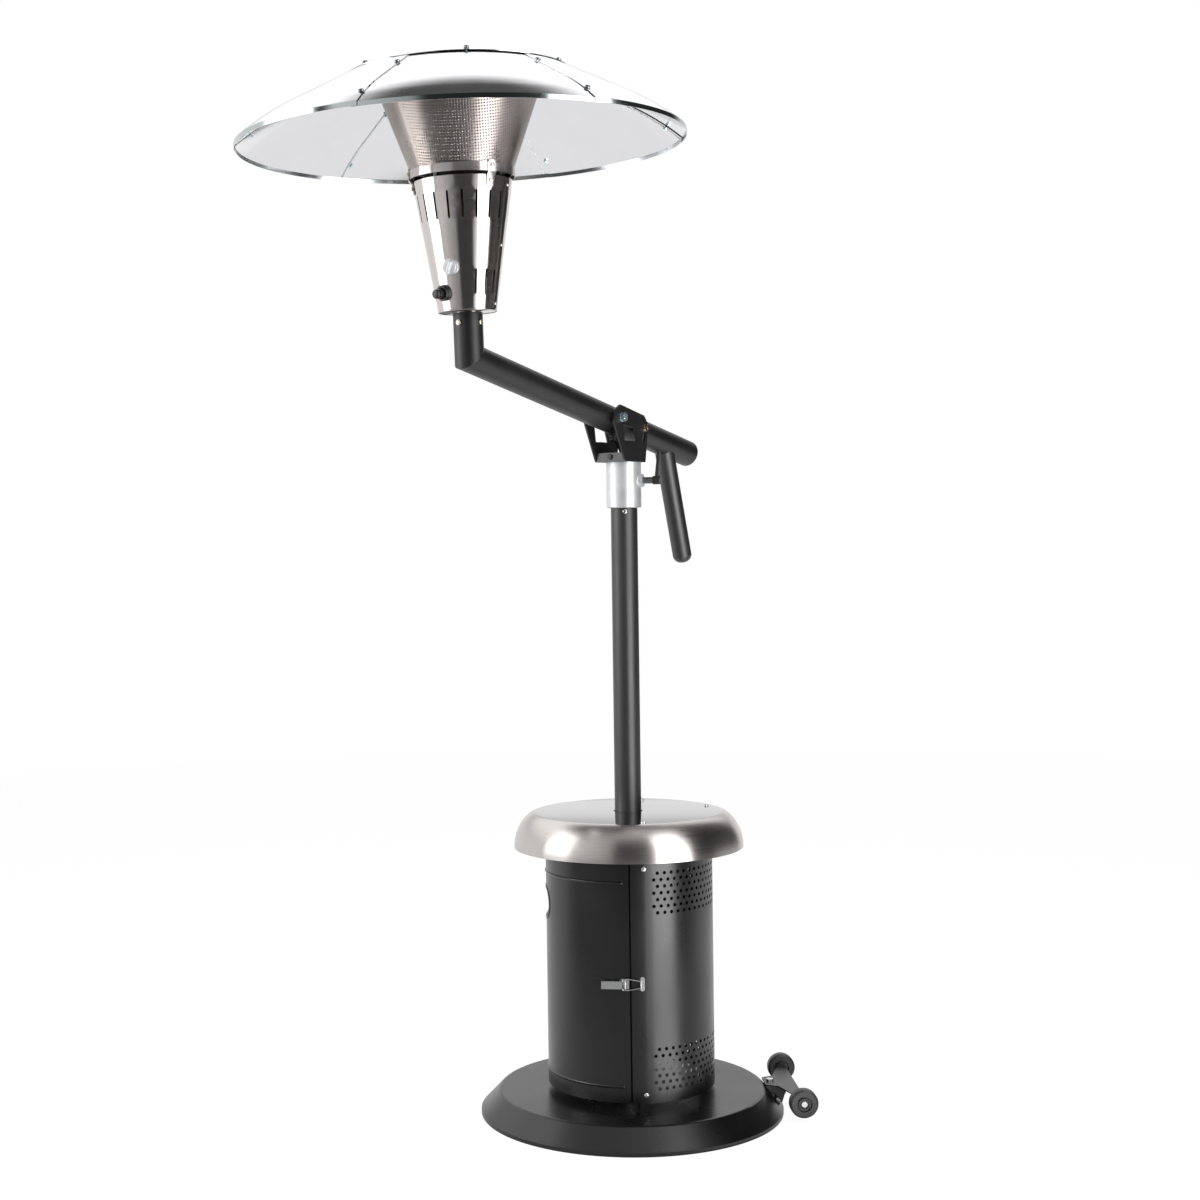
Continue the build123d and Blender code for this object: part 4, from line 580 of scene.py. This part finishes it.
def rounded_block(size, radius, narrow_axis, narrowing):
    """Block with rounded edges, drawn in towards the far end of one of its axes."""
    bm = bmesh.new()
    bmesh.ops.create_cube(bm, size=1.0, matrix=Matrix.Diagonal((*size, 1)))
    far_end = [vert for vert in bm.verts if vert.co[narrow_axis] > 0]
    bmesh.ops.scale(bm, vec=narrowing, verts=far_end)
    bmesh.ops.bevel(
        bm, geom=list(bm.edges), offset=radius, offset_type="OFFSET", affect="EDGES",
        segments=4, profile=0.5, material=-1, clamp_overlap=True,
    )
    return bm


# Gas hose between the collar and the arm
HOSE_R = 0.0064
hose_points = (
    (0.0, 0, 1.3760), (0.0, 0, 1.4000), (-0.004, 0, 1.4200), (-0.018, 0, 1.4350),
    (-0.032, 0, 1.4420), (-0.036, 0, 1.4560),
)
hose_curve = bpy.data.curves.new("gas_hose", "CURVE")
hose_curve.dimensions = "3D"
spline = hose_curve.splines.new("NURBS")
spline.points.add(len(hose_points) - 1)
for point, place in zip(spline.points, hose_points):
    point.co = (*place, 1.0)
spline.order_u = 3
spline.use_endpoint_u = True
hose_curve.bevel_depth = HOSE_R
hose_curve.bevel_resolution = 6
hose_curve.resolution_u = 12
hose_curve.use_fill_caps = True
hose_line = bpy.data.objects.new("gas_hose_line", hose_curve)
scene.collection.objects.link(hose_line)
bpy.context.view_layer.update()
hose_mesh = bpy.data.meshes.new_from_object(hose_line)
bpy.data.objects.remove(hose_line)
gas_hose = bpy.data.objects.new("gas_hose", hose_mesh)
scene.collection.objects.link(gas_hose)
hose_mesh.materials.append(hose_rubber)
smooth(gas_hose)
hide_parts("hose_middle")
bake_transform(gas_hose)

# Grommet where the hose enters the arm, ribbed below
hose_hole = arm_point(HOSE_AHEAD) + Vector((0, 0, -TUBE_R / cos(ARM_RISE)))
grommet_profile = (
    (0.0070, -0.0130), (0.0088, -0.0130), (0.0092, -0.0105), (0.0079, -0.0095),
    (0.0079, -0.0080), (0.0106, -0.0070), (0.0106, -0.0045), (0.0084, -0.0035),
    (0.0084, -0.0022), (0.0122, -0.0010), (0.0122, 0.0020), (0.0070, 0.0020), (0.0070, -0.0130),
)
grommet_place = Matrix.Translation(hose_hole) @ Matrix.Rotation(ARM_RISE, 4, "Y")
grommet = revolved("hose_grommet", grommet_profile, grommet_place, hose_rubber)
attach(grommet, "arm")

# Strip inside the shell's front edge that the door closes against, near black and matt as painted
# shadow in the door's gap
bm = bmesh.new()
section = [
    bm.verts.new((radius, 0, height)) for radius, height in (
        (STRIP_R, STRIP_LOW), (STRIP_R + STRIP_T, STRIP_LOW),
        (STRIP_R + STRIP_T, STRIP_HIGH), (STRIP_R, STRIP_HIGH),
    )
]
strip = bm.faces.new(section)
bmesh.ops.spin(
    bm, geom=section + list(strip.edges) + [strip], cent=(0, 0, 0), axis=(0, 0, 1),
    dvec=(0, 0, 0), angle=radians(STRIP_WIDE_DEG), steps=8, use_merge=False, use_duplicate=False,
)
bmesh.ops.recalc_face_normals(bm, faces=bm.faces)
strip_turn = Matrix.Rotation(radians(STRIP_FROM_DEG), 3, "Z")
bmesh.ops.rotate(bm, cent=(0, 0, 0), matrix=strip_turn, verts=bm.verts)
door_stop = mesh_object("door_stop", bm, gap_shadow_black)
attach(door_stop, "stand")

# Control knob: a turned disc with a grip bar across it
knob_place = on_cone(KNOB_DEG, KNOB_H) @ Matrix.Rotation(radians(KNOB_TURN_DEG), 4, "Z")
knob_profile = (
    (0.0, 0.0020), (0.0148, 0.0020), (0.0155, 0.0027), (0.0155, 0.0062), (0.0150, 0.0070),
    (0.0141, 0.0072), (0.0136, 0.0066), (0.0118, 0.0068), (0.0112, 0.0076), (0.0, 0.0080),
)
knob_disc = revolved("control_knob_disc", knob_profile, knob_place, knob_metal, 64)
bm = rounded_block((0.0072, 0.0262, 0.0080), 0.0014, 2, (0.62, 0.90, 1.0))
bmesh.ops.translate(bm, vec=(0, 0, 0.0112), verts=bm.verts)
bmesh.ops.transform(bm, matrix=knob_place, verts=bm.verts)
knob_bar = mesh_object("control_knob_bar", bm, knob_metal)
smooth(knob_bar)
for piece in (knob_disc, knob_bar):
    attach(piece, "knob")
    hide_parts("control_knob")

# Igniter: ribbed ring on the burner housing and a ridged push button
RIBS = 24
igniter_place = on_cone(IGNITER_DEG, IGNITER_H)
ring_profile = (
    (0.0100, -0.0025), (0.0150, -0.0025), (0.0150, 0.0030), (0.0146, 0.0036), (0.0138, 0.0036),
    (0.0138, 0.0090), (0.0130, 0.0102), (0.0112, 0.0102), (0.0104, 0.0094), (0.0100, 0.0080),
    (0.0100, -0.0025),
)
push_profile = (
    (0.0, -0.004), (0.0075, -0.004), (0.0075, 0.0115), (0.0092, 0.0120), (0.0094, 0.0145),
    (0.0080, 0.0152), (0.0080, 0.0168), (0.0092, 0.0175), (0.0092, 0.0198), (0.0078, 0.0205),
    (0.0078, 0.0218), (0.0088, 0.0224), (0.0088, 0.0252), (0.0080, 0.0268), (0.0058, 0.0277),
    (0.0, 0.0280),
)
igniter_ring = revolved("igniter_ring", ring_profile, igniter_place, black_plastic)
bm = bmesh.new()
for k in range(RIBS):
    shape = Matrix.Diagonal((0.0016, 0.0016, 0.0052, 1))
    rib = bmesh.ops.create_cube(bm, size=1.0, matrix=shape)["verts"]
    bmesh.ops.translate(bm, vec=(0.0140, 0, 0.0062), verts=rib)
    turn = Matrix.Rotation(2 * pi * k / RIBS, 3, "Z")
    bmesh.ops.rotate(bm, cent=(0, 0, 0), matrix=turn, verts=rib)
bmesh.ops.transform(bm, matrix=igniter_place, verts=bm.verts)
igniter_ribs = mesh_object("igniter_ribs", bm, black_plastic)
igniter_push = revolved("igniter_push", push_profile, igniter_place, black_plastic)
for piece, body, node in (
    (igniter_ring, "arm", "igniter_body"),
    (igniter_ribs, "arm", "igniter_body"),
    (igniter_push, "igniter", "igniter_button"),
):
    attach(piece, body)
    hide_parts(node)

# Clamp lever: a flat tapered handle on the end of the clamp screw
clamp_place = facing_out(ground_frame, CLAMP_DEG, 0.0, CLAMP_Z)
bm = rounded_block((0.0125, 0.064, 0.0084), 0.0020, 1, (0.72, 1, 0.78))
bmesh.ops.translate(bm, vec=(0, 0.0300, 0.0), verts=bm.verts)
bmesh.ops.rotate(
    bm, cent=(0, 0, 0), matrix=Matrix.Rotation(radians(5.0), 3, "X"), verts=bm.verts,
)
bmesh.ops.translate(bm, vec=(0, 0, CLAMP_LEVER_OUT), verts=bm.verts)
bmesh.ops.transform(bm, matrix=clamp_place, verts=bm.verts)
clamp_handle = mesh_object("clamp_handle", bm, black_plastic)
smooth(clamp_handle)
boss_profile = (
    (0.0, 0.0640), (0.0082, 0.0640), (0.0092, 0.0652), (0.0092, 0.0795), (0.0080, 0.0812),
    (0.0, 0.0816),
)
clamp_boss = revolved("clamp_boss", boss_profile, clamp_place, black_plastic)
for piece in (clamp_handle, clamp_boss):
    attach(piece, "clamp")
    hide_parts("clamp_lever")


# Table: a spun dish whose skirt falls away in a quarter oval
def dish_profile(inset):
    """Half section of the dish from its pole hole to its rim, inset by the sheet's thickness."""
    points = [(DISH_HOLE_R, TABLE_Z - inset), (DISH_FLAT_R, TABLE_Z - inset)]
    for step in range(1, 17):
        turn = pi / 2 * step / 16
        radius = DISH_FLAT_R + (DISH_SKIRT - inset) * sin(turn)
        fall = (DISH_DROP - inset) * (1 - cos(turn)) ** 0.9
        points.append((radius, TABLE_Z - inset - fall))
    return points


dish_top, dish_under = dish_profile(0.0), dish_profile(DISH_SHEET)
dish_section = dish_top + dish_under[::-1] + dish_top[:1]
table_dish = revolved("table_dish", dish_section, ground_frame, table_steel, 128)
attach(table_dish, "stand")
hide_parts("table_top")

# Edges of the lapped petals, seen from below as a thin step, near white as a painted highlight line
petals = bmesh.new()
petals.from_mesh(nodes["canopy_petals"].data)
petal_tree = BVHTree.FromBMesh(petals)
petals.free()
up = (head_frame.to_3x3() @ Vector((0, 0, 1))).normalized()


def below_canopy(angle, radius):
    """Point well below the canopy, by angle and radius about the head's axis."""
    return head_frame @ Vector((radius * cos(angle), radius * sin(angle), UNDER_CANOPY_H))


def under_canopy(angle, radius):
    """Point at the canopy's lowest underside close to an angle."""
    heights = [
        petal_tree.ray_cast(below_canopy(nearby, radius), up)[3]
        for nearby in (angle - 0.02, angle, angle + 0.02)
    ]
    lowest = min(height for height in heights if height is not None)
    return below_canopy(angle, radius) + up * lowest


EDGE_STEPS = 16
edge_section = ((-1, 0.0015), (-0.85, -0.0014), (0.85, -0.0014), (1, 0.0015))
bm = bmesh.new()
for k in range(PETALS):
    seam = radians(PETAL_SEAM_DEG + PETAL_LAP_DEG + 360 / PETALS * k)
    side = Vector((-sin(seam), cos(seam), 0)) * PETAL_EDGE_HALF_W
    rows = []
    for step in range(EDGE_STEPS + 1):
        radius = PETAL_EDGE_FROM + PETAL_EDGE_LENGTH * step / EDGE_STEPS
        middle = under_canopy(seam, radius)
        rows.append([
            bm.verts.new(middle + side * across + up * lift) for across, lift in edge_section
        ])
    for row, following in zip(rows, rows[1:]):
        for j in range(4):
            bm.faces.new((row[j], row[(j + 1) % 4], following[(j + 1) % 4], following[j]))
    bm.faces.new(rows[0])
    bm.faces.new(rows[-1])
bmesh.ops.recalc_face_normals(bm, faces=bm.faces)
petal_edges = mesh_object("petal_edges", bm, cut_edge_highlight)
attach(petal_edges, "arm")

# Tabs that join the ring to the burner housing, with rounded ends
TAB_COLUMNS = 13
tab_section = ((TAB_R + TAB_T, 0.3572), (TAB_R + TAB_T, 0.3350), (0.0962, 0.3260), (0.0934, 0.3085))
bm = bmesh.new()
for degrees in TAB_ANGLES_DEG:
    grid = []
    for j in range(TAB_COLUMNS):
        across = -1 + 2 * j / (TAB_COLUMNS - 1)
        round_off = TAB_HALF_W * (1 - (1 - across * across) ** 0.5)
        turn = radians(degrees) + across * TAB_HALF_W / TAB_R
        line = []
        for index, (radius, height) in enumerate(tab_section):
            height = height - round_off if index == 0 else height
            line.append(bm.verts.new((radius * cos(turn), radius * sin(turn), height)))
        grid.append(line)
    for left, right in zip(grid, grid[1:]):
        for i in range(len(tab_section) - 1):
            bm.faces.new((left[i], left[i + 1], right[i + 1], right[i]))
bmesh.ops.recalc_face_normals(bm, faces=bm.faces)
bmesh.ops.solidify(bm, geom=list(bm.faces), thickness=TAB_T)
bmesh.ops.transform(bm, matrix=head_frame, verts=bm.verts)
tab_plates = mesh_object("ring_tab_plates", bm, cone_steel)
smooth(tab_plates, 30.0)
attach(tab_plates, "arm")
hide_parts("ring_tabs")


# Screw and rivet heads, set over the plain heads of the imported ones
def islands(bm):
    """Groups of vertices that hang together, one for each screw."""
    seen = set()
    for start in bm.verts:
        if start in seen:
            continue
        seen.add(start)
        group = [start]
        for vert in group:
            for edge in vert.link_edges:
                other = edge.other_vert(vert)
                if other not in seen:
                    seen.add(other)
                    group.append(other)
        yield group


def widest_flat(faces):
    """Area, normal and middle of the largest flat among a screw's faces: its head."""
    best = (0.0, None, None)
    for sample in sorted(faces, key=lambda face: -face.calc_area())[:16]:
        level = sample.normal.dot(sample.verts[0].co)
        flat = [
            face for face in faces
            if face.normal.dot(sample.normal) > 0.999
            and abs(sample.normal.dot(face.verts[0].co) - level) < 2e-5
        ]
        area = sum(face.calc_area() for face in flat)
        if area > best[0] * 1.001:
            weighted = (face.calc_center_median() * face.calc_area() for face in flat)
            best = (area, sample.normal.copy(), sum(weighted, Vector()) / area)
    return best


def head_places(name):
    """Placement and radius of each screw's head in a node; local z points out."""
    bm = bmesh.new()
    bm.from_mesh(nodes[name].data)
    bmesh.ops.remove_doubles(bm, verts=bm.verts, dist=1e-6)
    bm.normal_update()
    found = []
    for group in islands(bm):
        faces = {face for vert in group for face in vert.link_faces}
        area, out, middle = widest_flat(sorted(faces, key=lambda face: face.index))
        side = Vector((0, 0, 1)).cross(out) if abs(out.z) < 0.9 else Vector((0, 1, 0)).cross(out)
        side.normalize()
        turn = Matrix((side, out.cross(side), out)).transposed().to_4x4()
        spin = Matrix.Rotation(radians(37 * len(found)), 4, "Z")
        found.append((Matrix.Translation(middle) @ turn @ spin, (area / pi) ** 0.5))
    bm.free()
    return found


def ring_edges(bm, radius, height):
    made = bmesh.ops.create_circle(bm, cap_ends=False, segments=24, radius=radius)["verts"]
    bmesh.ops.translate(bm, vec=(0, 0, height), verts=made)
    edges = {edge for vert in made for edge in vert.link_edges}
    return sorted(edges, key=lambda edge: edge.index)


def cross_head():
    """Domed screw head of radius 1 with a cross recess."""
    dome = ((1.03, -0.5), (1.03, -0.22), (0.97, -0.05), (0.80, 0.10), (0.62, 0.17))
    recess_corners = ((0.50, -0.13), (0.50, 0.13), (0.13, 0.13))
    bm = bmesh.new()
    loops = [ring_edges(bm, radius, height) for radius, height in dome]
    corners = [
        bm.verts.new(Matrix.Rotation(k * pi / 2, 3, "Z") @ Vector((x, y, 0.19)))
        for k in range(4) for x, y in recess_corners
    ]
    cross = [bm.edges.new((a, b)) for a, b in zip(corners, corners[1:] + corners[:1])]
    split = bmesh.ops.subdivide_edges(bm, edges=cross, cuts=1)["geom_split"]
    cross = [item for item in split if isinstance(item, bmesh.types.BMEdge)]
    loops.append(cross)
    for wider, narrower in zip(loops, loops[1:]):
        bmesh.ops.bridge_loops(bm, edges=wider + narrower)
    walls = bmesh.ops.extrude_edge_only(bm, edges=cross)["geom"]
    bottom = [item for item in walls if isinstance(item, bmesh.types.BMVert)]
    bmesh.ops.translate(bm, vec=(0, 0, -0.42), verts=bottom)
    bmesh.ops.scale(bm, vec=(0.72, 0.72, 1), verts=bottom)
    rim = [
        item for item in walls
        if isinstance(item, bmesh.types.BMEdge) and all(vert in bottom for vert in item.verts)
    ]
    bmesh.ops.contextual_create(bm, geom=rim)
    bmesh.ops.recalc_face_normals(bm, faces=bm.faces)
    return as_mesh("cross_head", bm)


def round_head():
    """Low dome of radius 1, for rivets."""
    dome = ((1.06, -0.40), (1.06, -0.12), (0.92, 0.12), (0.62, 0.34), (0.30, 0.44), (0.0, 0.46))
    return as_mesh("round_head", spun(dome, 24))


def set_heads(name, node, pattern, material, body):
    bm = bmesh.new()
    for place, radius in head_places(node):
        before = len(bm.verts)
        bm.from_mesh(pattern)
        bm.verts.ensure_lookup_table()
        size = Matrix.Scale(radius, 4)
        bmesh.ops.transform(bm, matrix=place @ size, verts=bm.verts[before:])
    piece = mesh_object(name, bm, material)
    smooth(piece, 30.0)
    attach(piece, body)


cross_pattern, round_pattern = cross_head(), round_head()
set_heads("housing_screw_heads", "body_screws", cross_pattern, zinc_plate, "stand")
set_heads("head_screw_heads", "head_screws", cross_pattern, yellow_zinc, "arm")
set_heads("canopy_screw_heads", "canopy_screws", cross_pattern, dark_zinc, "arm")
set_heads("rivet_heads", "cone_rivets", round_pattern, zinc_plate, "arm")
